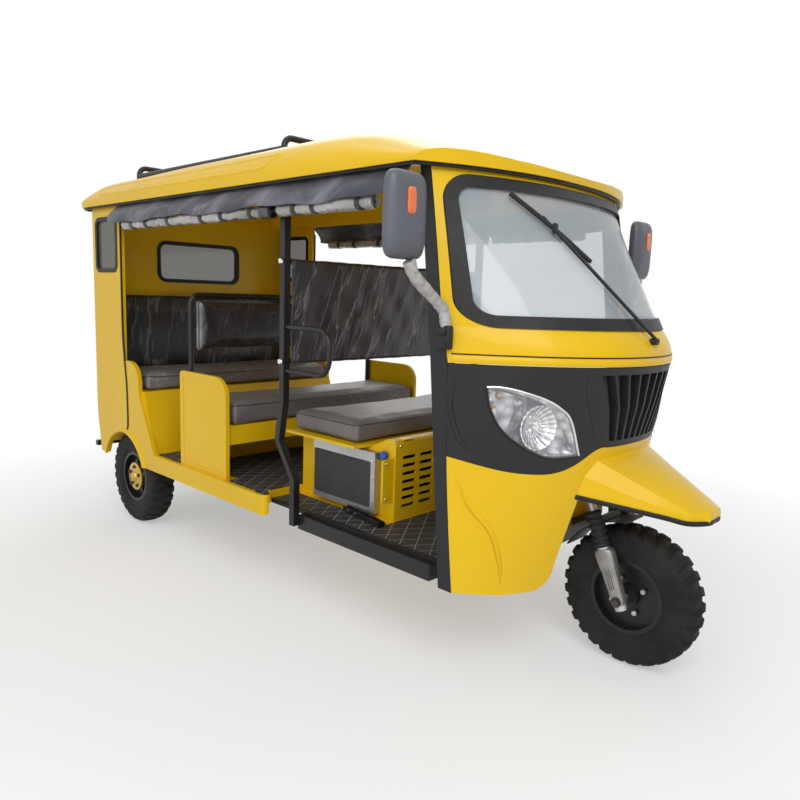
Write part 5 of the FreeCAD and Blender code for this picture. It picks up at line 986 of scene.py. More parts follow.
# beak: a rubber edge along its low side and round the tip

beakEdge = [
    (1.335, 0.266, 0.652), (1.349, 0.2605, 0.6499), (1.5044, 0.1911, 0.6301), (1.6142, 0.1420, 0.6159),
    (1.6804, 0.1121, 0.606), (1.7235, 0.0499, 0.604), (1.7265, 0, 0.604),
]
beakLoop = beakEdge + [(x, -y, z) for x, y, z in reversed(beakEdge[:-1])]
edgeSection = superOutline(0.005, 0.0085, 3.0, 14)
addPiece("beakEdge", [sweep(smoothPath(beakLoop, 120), edgeSection)], "sealRubber")

# wiper blade on the pane and its clip
wiperSettings = {"top": (-0.392, 1.669), "clip": (-0.270, 1.562), "low": (-0.165, 1.455), "proud": 0.013}
upperRows = np.array([(1.225, -0.11, 0.96), (1.486, -0.70, 0.67), (1.747, -1.33, 0.37)])
upperCurves = [np.polyfit(upperRows[:, 0], upperRows[:, k], 2) for k in (1, 2)]


def onPane(y, z, proud):
    # the same surface rule as the lower front, with the windscreen's rows
    y, z = np.asarray(y, float), np.asarray(z, float)
    bend = np.abs(y / frontShape["half"]) ** frontShape["power"]
    x = frontAxle + np.polyval(upperCurves[0], z) * frontShape["reach"]
    return np.stack([x - np.polyval(upperCurves[1], z) * frontShape["setback"] * bend + proud, y, z], -1)


bladeFlat = smoothPath([wiperSettings["top"], wiperSettings["clip"], wiperSettings["low"]], 40)
bladeFoot = onPane(bladeFlat[:, 0], bladeFlat[:, 1], 0.0015)
bladeSpine = onPane(bladeFlat[:, 0], bladeFlat[:, 1], wiperSettings["proud"])
clipPlace = onPane(*wiperSettings["clip"], wiperSettings["proud"] + 0.004)
bladeParts = [
    sweep((bladeFoot + bladeSpine) / 2, superOutline(0.0036, 0.0070, 3.0, 12), (1, 0, 0)),
    sweep(bladeSpine, superOutline(0.0075, 0.0032, 3.0, 12), (1, 0, 0)),
    blockAt(clipPlace, (0.006, 0.012, 0.018), 0.005),
]
addPiece("wiperBlade", bladeParts, "sealRubber")


# mirrors: a rounded shell with a glass behind, an indicator, a padded arm and a bracket

mirrorSettings = {
    "x": 1.011, "y": 0.800, "z": 1.562, "wide": 0.165, "high": 0.265, "deep": 0.052, "power": 5.5,
}


def mirrorShell():
    # outlines of one rounded rectangle, growing from the domed front to the rim and in again to the glass
    s = mirrorSettings
    outline = superOutline(s["wide"] / 2, s["high"] / 2, s["power"], 56)
    share = np.linspace(0, 1, 12)
    levels = [((1 - (1 - t) ** 2.6) ** (1 / 2.6), s["deep"] * (0.5 - 0.72 * t)) for t in share]
    levels += [(1.0, -0.40 * s["deep"]), (0.985, -0.48 * s["deep"]), (0.95, -0.5 * s["deep"])]
    levels += [(0.935, -0.44 * s["deep"]), (0.93, -0.40 * s["deep"]), (0.0, -0.40 * s["deep"])]
    return stacked(outline, levels, (s["x"], -s["y"], s["z"]), (0, 1, 0), (0, 0, 1))


s = mirrorSettings
mirrorShells = [mirrorShell()]
glassOutline = superOutline(s["wide"] * 0.462, s["high"] * 0.462, s["power"], 48)
mirrorGlasses = [plate(glassOutline, 0.003, (s["x"] - 0.42 * s["deep"], -s["y"], s["z"]), (0, 1, 0), (0, 0, 1))]
slotOutline = superOutline(0.017, 0.040, 5.0, 40)
slotPlace = (s["x"] + s["deep"] * 0.468, -0.808, 1.603)
mirrorSlots = [plate(slotOutline, 0.012, slotPlace, (0, 1, 0), (0, 0, 1), 0.9)]
mirrorNeck = [tube([(1.011, -0.786, 1.445), (1.011, -0.786, 1.42), (1.012, -0.775, 1.395)], 0.0085, 16)]
mirrorArmPath = [
    (1.011, -0.785, 1.425), (1.014, -0.760, 1.380), (1.020, -0.690, 1.325), (1.028, -0.640, 1.285),
    (1.038, -0.632, 1.250), (1.048, -0.640, 1.212),
]
armSpots = smoothPath(mirrorArmPath, 90)
armPhase = np.linspace(0, 1, len(armSpots))
foamRadius = 0.0205 - 0.002 * armPhase + 0.0006 * np.sin(armPhase * 61) + 0.0008 * np.sin(armPhase * 23 + 1)
foamRings = sweep(armSpots, ringSection(1.0, 20))[0]
foamPoints = np.concatenate([armSpots[:1, None], armSpots[:, None], armSpots[-1:, None]])
foamRadii = np.concatenate([[0.001], foamRadius, [0.001]])[:, None, None]
foamArm = (foamPoints + (foamRings - foamPoints) * foamRadii, gridFaces(len(armSpots) + 2, 20, False, True))
mirrorBracket = [
    roundBlock((1.020, -0.655, 1.150), (1.074, -0.628, 1.228), 0.006),
    roundBlock((1.028, -0.668, 1.196), (1.064, -0.632, 1.222), 0.008),
    nut((1.060, -0.655, 1.208), (0, -1, 0), 0.008, 0.007),
    nut((1.060, -0.655, 1.168), (0, -1, 0), 0.008, 0.007),
]
addPiece("mirrorShells", bothSides(mirrorShells), "greyPlastic", stands=("side_mirrors",))
addPiece("mirrorGlasses", bothSides(mirrorGlasses), "mirrorSilver")
addPiece("mirrorIndicators", bothSides(mirrorSlots), "orangeReflector")
addPiece("mirrorNecks", bothSides(mirrorNeck), "darkSteel")
addPiece("mirrorArms", bothSides([foamArm]), "greyFoam")
addPiece("mirrorBrackets", bothSides(mirrorBracket), "trimBlack")
print("mirrors ready")


# roof: a dark gutter round the eave

roofPlan = {"half": 0.700, "rear": -1.679, "corner": 0.07, "nose": 1.131, "curve": 0.19, "low": 1.747, "inset": 0.010}


def eavePath():
    # nose on the power curve, straight sides, and quarter circles at the rear corners
    r = roofPlan
    half = r["half"] - r["inset"]
    share = np.linspace(-1, 1, 61)
    nose = np.stack([r["nose"] - r["inset"] - r["curve"] * np.abs(share) ** 2.2, half * share], 1)
    rear = r["rear"] + r["inset"]
    corner = r["corner"]
    turn = np.linspace(0, np.pi / 2, 9)
    leftCorner = np.stack([rear + corner - corner * np.sin(turn), half - corner + corner * np.cos(turn)], 1)
    leftSide = np.stack([np.linspace(nose[-1, 0], rear + corner, 40)[1:-1], np.full(38, half)], 1)
    back = np.stack([np.full(20, rear), np.linspace(half - corner, corner - half, 22)[1:-1]], 1)
    rightCorner = (leftCorner * (1, -1))[::-1]
    rightSide = (leftSide * (1, -1))[::-1]
    flat = np.concatenate([nose, leftSide, leftCorner, back, rightCorner, rightSide])
    return np.column_stack([flat, np.full(len(flat), r["low"] - 0.0055)])


gutter = sweep(eavePath(), superOutline(0.0055, 0.0062, 4.0, 16), closed=True)
addPiece("eaveGutter", [gutter], "sealRubber")


# black strips along the rear doorways' edges

stripPath = [
    (-1.229, 1.700), (-1.228, 1.40), (-1.226, 1.08), (-1.212, 0.93), (-1.194, 0.80), (-1.188, 0.66),
    (-1.189, 0.56), (-1.206, 0.512),
]
stripFlat = smoothPath(stripPath, 90)
stripPoints = np.column_stack([stripFlat[:, 0], np.full(len(stripFlat), -0.6675), stripFlat[:, 1]])
edgeStrip = sweep(stripPoints, superOutline(0.007, 0.004, 4.0, 14), (0, 1, 0))
addPiece("doorEdgeStrips", bothSides([edgeStrip]), "sealRubber")


# tail lamps: a black base with a red lens and an amber one above it

tailBox = np.asarray(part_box("tail_lamps"), float)
tailDeep = 0.034
tailX = tailBox[0][0]
tailPieces = {
    "tailLampBases": ("trimBlack", "plastic_black", 0.735, 0.0475, 0.095, 0.018, tailX + 0.024),
    "tailLampReds": ("redLamp", "lamp_red", 0.708, 0.041, 0.060, 0.026, tailX + 0.013),
    "tailLampAmbers": ("orangeReflector", "lamp_red", 0.798, 0.041, 0.024, 0.026, tailX + 0.013),
}
for pieceName, (finish, slotName, z, wide, high, thick, x) in tailPieces.items():
    outline = superOutline(wide, high, 6.0, 48)
    parts = [plate(outline, thick, (x, side * 0.575, z), (0, 1, 0), (0, 0, 1), 0.93) for side in (1, -1)]
    stands = ("tail_lamps",) if pieceName == "tailLampBases" else ()
    addPiece(pieceName, parts, finish, stands=stands)
print("roof edge, strips and tail lamps ready")


# curtain behind the driver: stretched between two rods, with a sleeve round each

curtainSettings = {"half": 0.612, "low": 1.030, "high": 1.444, "x": 0.1975, "rod": 0.186, "sleeve": 0.0115}


def curtainGrid():
    # a plane with slanting creases: sines along two slanted directions, calmer at the rods
    s = curtainSettings
    y = np.linspace(-s["half"], s["half"], 150)[:, None]
    t = np.linspace(0, 1, 60)[None, :]
    calm = np.sin(np.pi * t) ** 0.5
    slant = np.sin(38 * y + 9 * t) + 0.6 * np.sin(61 * y - 14 * t + 1.2) + 0.5 * np.sin(17 * y + 20 * t)
    x = s["x"] + 0.0016 * slant * calm
    z = s["low"] + (s["high"] - s["low"]) * t
    return np.stack([x, np.broadcast_to(y, x.shape), np.broadcast_to(z, x.shape)], -1)


sleeves = []
for z in (1.034, 1.440):
    span = np.linspace(-curtainSettings["half"], curtainSettings["half"], 80)
    path = np.column_stack([np.full(80, curtainSettings["rod"]), span, np.full(80, z)])
    wobble = 1 + 0.05 * np.sin(span * 70) + 0.04 * np.sin(span * 31 + 1)
    ring = sweep(path, ringSection(1.0, 18))[0]
    middle = np.concatenate([path[:1, None], path[:, None], path[-1:, None]])
    radii = np.concatenate([[0.0095], curtainSettings["sleeve"] * wobble, [0.0095]])[:, None, None]
    sleeves.append((middle + (ring - middle) * radii, gridFaces(82, 18, False, True)))
sleevePiece = addPiece("curtainSleeves", sleeves, "curtainSheet")
addSheet(
    "curtainSheet", curtainGrid(), "curtainSheet", 0.0012,
    ("driver_curtain",),
)


# side valances: a hung flap, with clear sheets rolled up below it and tied with straps

valanceSettings = {
    "rear": -1.244, "front": 0.901, "wave": 0.011, "hemWave": 0.006,
    "drop": ((0.6705, 1.7455), (0.6745, 1.7330), (0.6905, 1.7120), (0.7120, 1.6860), (0.7245, 1.6620), (0.7265, 1.6440)),
    "rollY": 0.6955, "rollZ": 1.6300, "inner": 0.013, "outer": 0.0275, "turns": 3,
}
rollSettings = [
    {"rear": -1.099, "front": 0.112, "straps": (-1.002, -0.851, -0.631, -0.335, -0.172, 0.044)},
    {"rear": 0.235, "front": 0.761, "straps": (0.330, 0.447, 0.690)},
]
endRoll = {"rear": 0.116, "front": 0.180, "straps": (), "inner": 0.004, "outer": 0.0290, "turns": 6, "calm": 0.2}


def valanceGrid(side):
    # drop line swelled outwards by broad folds that start below the eave, over a hem whose height wanders
    s = valanceSettings
    x = np.linspace(s["rear"], s["front"], 300)[:, None]
    drop = smoothPath([(y, z) for y, z in s["drop"]], 24)
    t = np.linspace(0, 1, 24)[None, :]
    fold = np.sin(11 * x + 3.0 * t) + 0.7 * np.sin(23 * x - 4.0 * t + 1.1) + 0.35 * np.sin(57 * x + 2)
    swell = s["wave"] * (0.5 + 0.25 * fold) * np.sin(np.clip(t * 1.15, 0, 1) * np.pi * 0.86) ** 1.2
    y = drop[None, :, 0] + np.clip(swell, 0, None)
    hem = s["hemWave"] * (np.sin(9 * x + 0.5) + 0.6 * np.sin(23 * x)) * t ** 3
    z = drop[None, :, 1] + hem
    return np.stack([np.broadcast_to(x, y.shape), side * y, z], -1)


def rollGrid(side, roll):
    # a spiral whose radius grows with its turns, drawn in where a strap ties it, crumpled by sines
    s = {**valanceSettings, **roll}
    x = np.linspace(roll["rear"], roll["front"], max(8, int((roll["front"] - roll["rear"]) * 150)))[:, None]
    angle = np.linspace(0, 2 * np.pi * s["turns"], 24 * s["turns"] + 1)[None, :]
    radius = s["inner"] + (s["outer"] - s["inner"]) * angle / angle.max()
    pinch = sum((np.exp(-(((x - place) / 0.020) ** 2)) for place in roll["straps"]), 0 * x)
    crumple = 0.08 * np.sin(x * 29 + angle * 0.5) + 0.05 * np.sin(x * 67 + angle) + 0.03 * np.sin(x * 151 + angle * 2)
    radius = radius * (1 - 0.22 * pinch) * np.minimum(1 + s.get("calm", 1.0) * (crumple - 0.04), 1.03)
    y = s["rollY"] + radius * np.cos(angle + 2.1)
    z = s["rollZ"] + radius * np.sin(angle + 2.1)
    return np.stack([np.broadcast_to(x, y.shape), side * y, z], -1)


def strapParts(side, roll):
    # a flat closed band round the roll, tied where the roll is drawn in
    s = valanceSettings
    turn = np.linspace(0, 2 * np.pi, 28, endpoint=False)
    reach = s["outer"] * 0.87
    bands = []
    for place in roll["straps"]:
        y, z = s["rollY"] + reach * np.cos(turn), s["rollZ"] + reach * np.sin(turn)
        path = np.stack([np.full(28, place), side * y, z], 1)
        bands.append(sweep(path, superOutline(0.0011, 0.0115, 5.0, 12), (1, 0, 0), True))
    return bands


for sideName, side in (("Left", 1), ("Right", -1)):
    stands = ("side_curtains",) if side > 0 else ()
    grid = valanceGrid(side)
    addSheet("valance" + sideName, grid, "valanceCloth", 0.0014, stands)
    for index, roll in enumerate(rollSettings + [endRoll]):
        grid = rollGrid(side, roll)
        name = "rolledSheet%s%d" % (sideName, index + 1)
        finish = "rolledPlastic" if roll["straps"] else "weltBlack"
        addSheet(name, grid, finish, 0.0006, ())
    bands = [band for roll in rollSettings for band in strapParts(side, roll)]
    addPiece("rollStraps" + sideName, bands, "strapWeb")
print("curtains ready")


# mats laid where the floor shows below the middle seat and beside the engine cover

matSettings = {
    "seat": ((-0.606, -0.575, 0.4344), (-0.232, 0.575, 0.4396)),
    "stepRight": ((0.030, -0.578, 0.4014), (0.624, -0.442, 0.4066)),
    "stepLeft": ((0.030, 0.442, 0.4014), (0.624, 0.578, 0.4066)),
}
mats = []
for low, high in matSettings.values():
    low, high = np.array(low), np.array(high)
    outline = superOutline((high[0] - low[0]) / 2, (high[1] - low[1]) / 2, 24.0, 80)
    mats.append(plate(outline, high[2] - low[2], (low + high) / 2, (1, 0, 0), (0, 1, 0), 0.994))
addPiece("floorMatFills", mats, "quiltedMat")


# yellow lip that turns inwards from the sill's front end to the floor's edge

cornerPath = [
    (0.000, 0.6650), (0.045, 0.6650), (0.072, 0.657), (0.080, 0.637), (0.070, 0.617), (0.048, 0.603),
    (0.022, 0.597),
]
cornerFlat = smoothPath(cornerPath, 50)
cornerSpots = np.column_stack([cornerFlat, np.full(len(cornerFlat), 0.4215)])
corner = sweep(cornerSpots, superOutline(0.0026, 0.0200, 5.0, 16))
endSpots = np.column_stack([cornerFlat[:26], np.full(26, 0.3965)])
sillEnd = sweep(endSpots, superOutline(0.0032, 0.0450, 8.0, 20))
cornerEdge = np.vstack([[(-0.002, 0.6640)], cornerFlat[4:], [(-0.002, 0.5975)]])
cornerFloor = plate(cornerEdge, 0.005, (0, 0, 0.4338), (1, 0, 0), (0, 1, 0), 0.985)
addPiece("sillCorners", bothSides([corner, sillEnd, cornerFloor]), "bodyYellow")
cornerMatPath = [
    (0.030, 0.654), (0.048, 0.653), (0.066, 0.645), (0.070, 0.634), (0.062, 0.618), (0.046, 0.607),
    (0.022, 0.603),
]
cornerMatEdge = np.vstack([[(-0.004, 0.654)], smoothPath(cornerMatPath, 40), [(-0.004, 0.603)]])
cornerMat = plate(cornerMatEdge, 0.006, (0, 0, 0.4372), (1, 0, 0), (0, 1, 0), 0.985)
addPiece("cornerMats", bothSides([cornerMat]), "quiltedMat")


# rubber edging of the step, turned down over its rim

edgeSection = [
    (0.5775, 0.4014), (0.5775, 0.4072), (0.5945, 0.4072), (0.5945, 0.3920), (0.5912, 0.3920),
    (0.5912, 0.4014),
]
edgeRings = [[(x, y, z) for y, z in edgeSection] for x in (0.024, 0.30, 0.62, 0.90, 1.046)]
edgeCaps = [np.broadcast_to(np.mean(edgeRings[k], axis=0), (6, 3)) for k in (0, -1)]
edgePoints = np.stack([edgeCaps[0], *np.array(edgeRings), edgeCaps[1]])
addPiece("stepEdging", bothSides([(edgePoints, gridFaces(7, 6, False, True))]), "sealRubber", angle=20)


# dark round box under the roof behind the windscreen's right corner

boxSettings = {"low": (0.915, -0.480, 1.612), "high": (0.985, -0.325, 1.738), "round": 0.030}
cabBox = roundBlock(boxSettings["low"], boxSettings["high"], boxSettings["round"], 16, 32)
addPiece("cabBox", [cabBox], "trimBlack")


# roof creases: a long pressed loop on each side above the eave

creaseLoop = [
    (-1.42, 1.806), (-0.90, 1.803), (-0.40, 1.802), (0.02, 1.802), (0.10, 1.806), (0.150, 1.826), (0.185, 1.850),
    (0.120, 1.853), (-0.40, 1.850), (-0.90, 1.850), (-1.40, 1.852), (-1.46, 1.830),
]
roofSurface = BVHTree.FromObject(bpy.data.objects["roof_shell"], bpy.context.evaluated_depsgraph_get())
creaseFlat = smoothPath(creaseLoop + creaseLoop[:1], 220)[:-1]
creaseSpots, creaseNormals = [], []
for x, z in creaseFlat:
    place, normal = roofSurface.ray_cast(Vector((x, -1.2, z)), Vector((0, 1, 0)))[:2]
    if place is not None:
        creaseSpots.append(place)
        creaseNormals.append(normal)
print("roof crease points:", len(creaseSpots))
roofCrease = sweep(np.array(creaseSpots), ridgeSection(0.020, 0.0045), np.array(creaseNormals), True)
addPiece("roofCreases", bothSides([roofCrease]), "bodyYellow")


# radiator: a fine dark screen between the tanks, screws on its end bar, and a blue cap on a hose

radiatorBox = np.asarray(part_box("radiator"), float)
radiatorSettings = {"top": 0.040, "low": 0.022, "bar": 0.024, "wall": 0.004}
r = radiatorSettings
meshWide = (radiatorBox[1][0] - radiatorBox[0][0] - r["bar"]) / 2
meshHigh = (radiatorBox[1][2] - radiatorBox[0][2] - r["top"] - r["low"]) / 2
meshPlace = (radiatorBox[0][0] + meshWide, radiatorBox[0][1] + 0.0045, radiatorBox[0][2] + r["low"] + meshHigh)
meshOutline = superOutline(meshWide - 0.002, meshHigh - 0.001, 40.0, 64)
coreScreen = plate(meshOutline, r["wall"], meshPlace, (1, 0, 0), (0, 0, 1), 0.995)
addPiece("radiatorScreen", [coreScreen], "meshDark")
endX = radiatorBox[1][0] - r["bar"] / 2
faceY = radiatorBox[0][1]
screws = [nut((endX, faceY, z), (0, -1, 0), 0.006, 0.005) for z in (0.475, 0.575, 0.645)]
addPiece("radiatorScrews", screws, "brightTrim")
capPlace = np.array([0.560, faceY + 0.030, 0.672])
capProfile = [(0, 0), (0.016, 0), (0.0175, 0.004), (0.0175, 0.012), (0.014, 0.017), (0, 0.018)]
ribs = []
for angle in np.linspace(0, 2 * np.pi, 10, endpoint=False):
    outward = np.array([0.0172 * np.cos(angle), -0.006, 0.0172 * np.sin(angle)])
    ribs.append(blockAt(capPlace + outward, (0.0022, 0.005, 0.0022), 0.0018, 4, 8))
addPiece("radiatorCap", [turned(capProfile, capPlace, (0, -1, 0), 32)] + ribs, "blueCap")
neckPath = [
    (radiatorBox[1][0] - 0.004, faceY + 0.022, 0.660), (0.545, faceY + 0.026, 0.665),
    (0.560, faceY + 0.040, 0.670), (0.560, faceY + 0.030, 0.672),
]
addPiece("radiatorNeck", [tube(neckPath, 0.009, 24)], "darkSteel")


# channel bracket on the step beside the radiator, with its bolts

bracketEnds = [(0.380, -0.452, 0.4195), (0.50, -0.472, 0.4195), (0.640, -0.496, 0.4195)]
bracketSection = [
    (-0.015, -0.012), (-0.015, 0.010), (-0.011, 0.010), (-0.011, -0.008), (0.011, -0.008), (0.011, 0.010),
    (0.015, 0.010), (0.015, -0.012),
]
bracket = sweep(smoothPath(bracketEnds, 12), bracketSection)
addPiece("stepBracket", [bracket], "frameBlack", angle=20)
topBolts = ((0.405, -0.456), (0.445, -0.463), (0.620, -0.4925))
bracketBolts = [nut((x, y, 0.4115), (0, 0, 1), 0.0065, 0.008) for x, y in topBolts]
bracketBolts += [nut((x, y - 0.0145, 0.420), (0, -1, 0), 0.0055, 0.006) for x, y in ((0.42, -0.4587), (0.47, -0.467))]
addPiece("bracketBolts", bracketBolts, "brightTrim")


# bolts: rods and handles at the middle posts, cover's fixings

postBolts = []
for side in (1, -1):
    for x, z in ((0.186, 1.440), (0.186, 1.034)):
        domeProfile = [(0, 0), (0.010, 0.001), (0.0125, 0.006), (0.010, 0.012), (0, 0.0145)]
        postBolts.append(turned(domeProfile, (x, side * 0.652, z), (0, side, 0), 20))
coverBox = np.asarray(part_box("engine_cover"), float)
for y in (-0.375, -0.02, 0.375):
    postBolts.append(nut((coverBox[1][0], y, 0.716), (1, 0, 0), 0.006, 0.005))
for z in (0.505, 0.650):
    postBolts.append(nut((coverBox[1][0] - 0.008, -0.446, z), (1, 0, 0), 0.0055, 0.005))
addPiece("postBolts", postBolts, "brightTrim")
coverTab = roundBlock((coverBox[1][0] - 0.03, -0.36, 0.7365), (coverBox[1][0] + 0.004, -0.30, 0.7425), 0.0028)
addPiece("coverTab", [coverTab], "bodyYellow")
print("radiator, bracket and bolts ready")


# cushions: blown up by a cloth simulation inside their places, with a welt along the upper edge

cushionSettings = {
    "driver_cushion": {"fill": 0.85, "cap": 0.018, "finish": "seatWrap", "top": "z"},
    "middle_seat_cushion": {"fill": 0.85, "cap": 0.018, "finish": "seatWrap", "top": "z"},
    "middle_seat_back": {"fill": 0.75, "cap": 0.014, "finish": "padWrap", "top": "x"},
    "rear_seat_cushion": {"fill": 0.85, "cap": 0.018, "finish": "seatWrap", "top": "z"},
    "rear_seat_back": {"fill": 0.75, "cap": 0.016, "finish": "backWrap", "top": "x"},
}
clothSettings = {"voxel": 0.012, "shrink": 0.009, "round": 0.016, "pressure": 4.0, "frames": 20}


def denseBlock(low, high, spacing, radius):
    # a box of even cells whose points within the radius of an edge are drawn onto a rounded edge
    low, high = np.asarray(low, float), np.asarray(high, float)
    block = bmesh.new()
    bmesh.ops.create_cube(block, size=1.0)
    mesh = bpy.data.meshes.new("blockDraft")
    block.to_mesh(mesh)
    block.free()
    corners = np.empty(len(mesh.vertices) * 3)
    mesh.vertices.foreach_get("co", corners)
    corners = corners.reshape(-1, 3) * (high - low) + (low + high) / 2
    mesh.vertices.foreach_set("co", corners.ravel())
    draft = bpy.data.objects.new("blockDraft", mesh)
    bpy.context.scene.collection.objects.link(draft)
    remesh = draft.modifiers.new("cells", "REMESH")
    remesh.mode = "VOXEL"
    remesh.voxel_size = spacing
    points, faces = evaluated(draft)
    bpy.data.objects.remove(draft)
    bpy.data.meshes.remove(mesh)
    inner = np.clip(points, low + radius, high - radius)
    away = points - inner
    length = np.linalg.norm(away, axis=1, keepdims=True)
    points = np.where(length > radius, inner + away / np.maximum(length, 1e-9) * radius, points)
    return points, faces


def evaluated(piece):
    # points and faces as the modifiers leave them
    graph = bpy.context.evaluated_depsgraph_get()
    mesh = bpy.data.meshes.new_from_object(piece.evaluated_get(graph))
    points = np.empty(len(mesh.vertices) * 3)
    mesh.vertices.foreach_get("co", points)
    faces = [tuple(face.vertices) for face in mesh.polygons]
    bpy.data.meshes.remove(mesh)
    return points.reshape(-1, 3), faces


def blownUp(points, faces):
    # the block under even pressure, without gravity, after the set number of frames
    mesh = bpy.data.meshes.new("padDraft")
    mesh.from_pydata(points.tolist(), [], faces)
    draft = bpy.data.objects.new("padDraft", mesh)
    bpy.context.scene.collection.objects.link(draft)
    cloth = draft.modifiers.new("cloth", "CLOTH")
    cloth.settings.use_pressure = True
    cloth.settings.uniform_pressure_force = clothSettings["pressure"]
    cloth.settings.effector_weights.gravity = 0
    cloth.settings.quality = 4
    cloth.point_cache.frame_start = 1
    cloth.point_cache.frame_end = clothSettings["frames"]
    for frameNumber in range(1, clothSettings["frames"] + 1):
        bpy.context.scene.frame_set(frameNumber)
    blown = evaluated(draft)[0]
    bpy.context.scene.frame_set(1)
    bpy.data.objects.remove(draft)
    bpy.data.meshes.remove(mesh)
    return blown


def welt(surface, low, high, top):
    # a cord laid on the padded form where its top face turns into its sides
    margin = 0.010
    if top == "z":
        flat = superOutline((high[0] - low[0]) / 2 - margin, (high[1] - low[1]) / 2 - margin, 14.0, 160)
        level = np.full(len(flat), high[2] - margin)
        path = np.column_stack([flat + (low[:2] + high[:2]) / 2, level])
    else:
        flat = superOutline((high[1] - low[1]) / 2 - margin, (high[2] - low[2]) / 2 - margin, 14.0, 160)
        level = np.full(len(flat), high[0] - margin)
        path = np.column_stack([level, flat + (low[1:] + high[1:]) / 2])
    laid = []
    for spot in path:
        place, normal = surface.find_nearest(Vector(spot))[:2]
        laid.append(place + normal * 0.0004)
    laid = np.array(laid)
    laid = (np.roll(laid, 1, 0) + laid * 2 + np.roll(laid, -1, 0)) / 4
    up = (0, 0, 1) if top == "z" else (1, 0, 0)
    return sweep(laid, ringSection(0.0026, 8), up, True)


for node, settings in cushionSettings.items():
    low, high = np.asarray(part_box(node), float)
    shrink = clothSettings["shrink"]
    spacing = clothSettings["voxel"]
    points, faces = denseBlock(low + shrink, high - shrink, spacing, clothSettings["round"])
    moved = blownUp(points, faces)
    step = moved - points
    length = np.linalg.norm(step, axis=1, keepdims=True)
    moved = points + step * np.minimum(1, settings["cap"] / np.maximum(length, 1e-9))
    spare = np.array([0.002, 0.002, 0.006]) if settings["top"] == "z" else np.array([0.008, 0.002, 0.002])
    floor = low + 0.0004
    roof = high + spare
    moved = np.clip(moved, floor, roof)
    pieceName = "padded" + "".join(word.capitalize() for word in node.split("_"))
    pad = makePiece(pieceName, moved, faces, settings["finish"], "vehicle_body", (node,))
    cleaned(pad, 70)
    smooth = pad.modifiers.new("fine", "SUBSURF")
    smooth.levels = 1
    smooth.render_levels = 1
    surface = BVHTree.FromPolygons(moved.tolist(), faces)
    addPiece(pieceName + "Welt", [welt(surface, low, high, settings["top"])], "weltBlack")
print("cushions ready")


# floor, light and camera

stageSettings = {"size": 30.0, "tone": (0.93, 0.93, 0.93), "near": 1.7, "far": 3.3, "least": 0.4, "world": 0.36}


def paleMaterial(name, tone):
    # plain pale floor with its shadow, which turns white away from the object to the camera and in reflections
    material, tree, shader = blankMaterial(name)
    shader.inputs["Base Color"].default_value = (*tone, 1)
    shader.inputs["Roughness"].default_value = 0.9
    place = tree.nodes.new("ShaderNodeTexCoord")
    length = tree.nodes.new("ShaderNodeVectorMath")
    length.operation = "LENGTH"
    tree.links.new(place.outputs["Object"], length.inputs[0])
    away = spread(tree, length.outputs["Value"], stageSettings["least"], 1.0, stageSettings["near"], stageSettings["far"])
    white = tree.nodes.new("ShaderNodeEmission")
    mix = tree.nodes.new("ShaderNodeMixShader")
    tree.links.new(mathOf(tree, "MULTIPLY", away, raysSeen(tree)), mix.inputs["Fac"])
    tree.links.new(shader.outputs["BSDF"], mix.inputs[1])
    tree.links.new(white.outputs["Emission"], mix.inputs[2])
    tree.links.new(mix.outputs["Shader"], tree.nodes["Material Output"].inputs["Surface"])
    return material


def raysSeen(tree):
    # one where a ray comes from the camera or from a shiny or clear surface
    rays = tree.nodes.new("ShaderNodeLightPath")
    shiny = mathOf(tree, "MAXIMUM", rays.outputs["Is Glossy Ray"], rays.outputs["Is Transmission Ray"])
    return mathOf(tree, "MAXIMUM", rays.outputs["Is Camera Ray"], shiny)


floorMesh = bpy.data.meshes.new("studioFloor")
reach = stageSettings["size"]
floorCorners = [(-reach, -reach, 0), (reach, -reach, 0), (reach, reach, 0), (-reach, reach, 0)]
floorMesh.from_pydata(floorCorners, [], [(0, 1, 2, 3)])
floorMesh.materials.append(paleMaterial("studioPale", stageSettings["tone"]))
studioFloor = bpy.data.objects.new("studioFloor", floorMesh)
bpy.context.scene.collection.objects.link(studioFloor)

world = bpy.data.worlds.new("studioWorld")
bpy.context.scene.world = world
world.use_nodes = True
worldTree = world.node_tree
worldTree.nodes.clear()
strength = spread(worldTree, raysSeen(worldTree), stageSettings["world"], 1.0, 0.0, 1.0)
background = worldTree.nodes.new("ShaderNodeBackground")
background.inputs["Color"].default_value = (1, 1, 1, 1)
worldTree.links.new(strength, background.inputs["Strength"])
worldOut = worldTree.nodes.new("ShaderNodeOutputWorld")
worldTree.links.new(background.outputs["Background"], worldOut.inputs["Surface"])

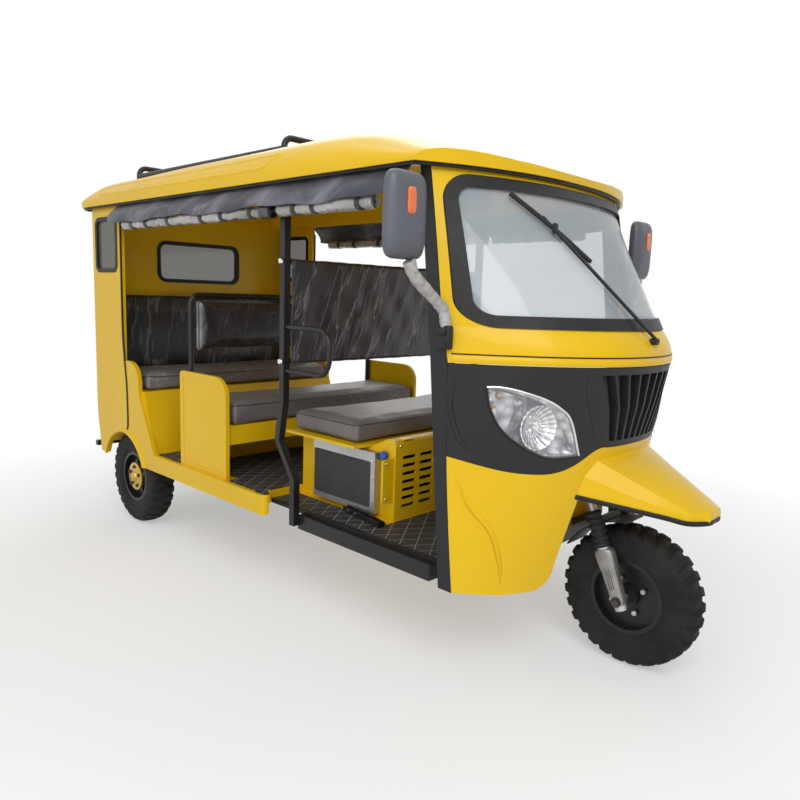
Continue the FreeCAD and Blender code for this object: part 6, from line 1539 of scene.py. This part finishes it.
studioLamps = [
    {"name": "keyLamp", "place": (4.5, -3.5, 5.0), "aim": (0.3, 0, 0.8), "size": 4.0, "power": 205},
    {"name": "fillLamp", "place": (1.0, -6.5, 3.0), "aim": (0, 0, 0.8), "size": 5.0, "power": 92},
    {"name": "topLamp", "place": (-0.5, 0.5, 6.5), "aim": (0, 0, 0.8), "size": 5.0, "power": 60},
    {"name": "backLamp", "place": (-5.0, 4.5, 4.0), "aim": (0, 0, 0.8), "size": 4.0, "power": 95},
]
for lamp in studioLamps:
    light = bpy.data.lights.new(lamp["name"], "AREA")
    light.size = lamp["size"]
    light.energy = lamp["power"]
    holder = bpy.data.objects.new(lamp["name"], light)
    aim = Vector(lamp["aim"]) - Vector(lamp["place"])
    holder.location = lamp["place"]
    holder.rotation_euler = aim.to_track_quat("-Z", "Y").to_euler()
    bpy.context.scene.collection.objects.link(holder)

cameraSettings = {"place": (2.524, -2.392, 1.32), "yaw": 133.61, "pitch": 8.504, "roll": 1.958, "lens": 31.56}


def cameraTurn(settings):
    # forward from yaw and pitch, then right and up turned by the roll
    yaw, pitch, roll = np.radians([settings["yaw"], settings["pitch"], settings["roll"]])
    ahead = np.array([np.cos(pitch) * np.cos(yaw), np.cos(pitch) * np.sin(yaw), -np.sin(pitch)])
    right = np.cross(ahead, [0, 0, 1])
    right /= np.linalg.norm(right)
    up = np.cross(right, ahead)
    rolledRight = np.cos(roll) * right + np.sin(roll) * up
    rolledUp = -np.sin(roll) * right + np.cos(roll) * up
    return Matrix(np.stack([rolledRight, rolledUp, -ahead], 1).tolist())


cameraData = bpy.data.cameras.new("photoCamera")
cameraData.lens = cameraSettings["lens"]
cameraData.sensor_width = 36.0
camera = bpy.data.objects.new("photoCamera", cameraData)
camera.matrix_world = Matrix.Translation(cameraSettings["place"]) @ cameraTurn(cameraSettings).to_4x4()
bpy.context.scene.collection.objects.link(camera)
bpy.context.scene.camera = camera
bpy.context.scene.view_settings.view_transform = "Standard"
print("studio ready")
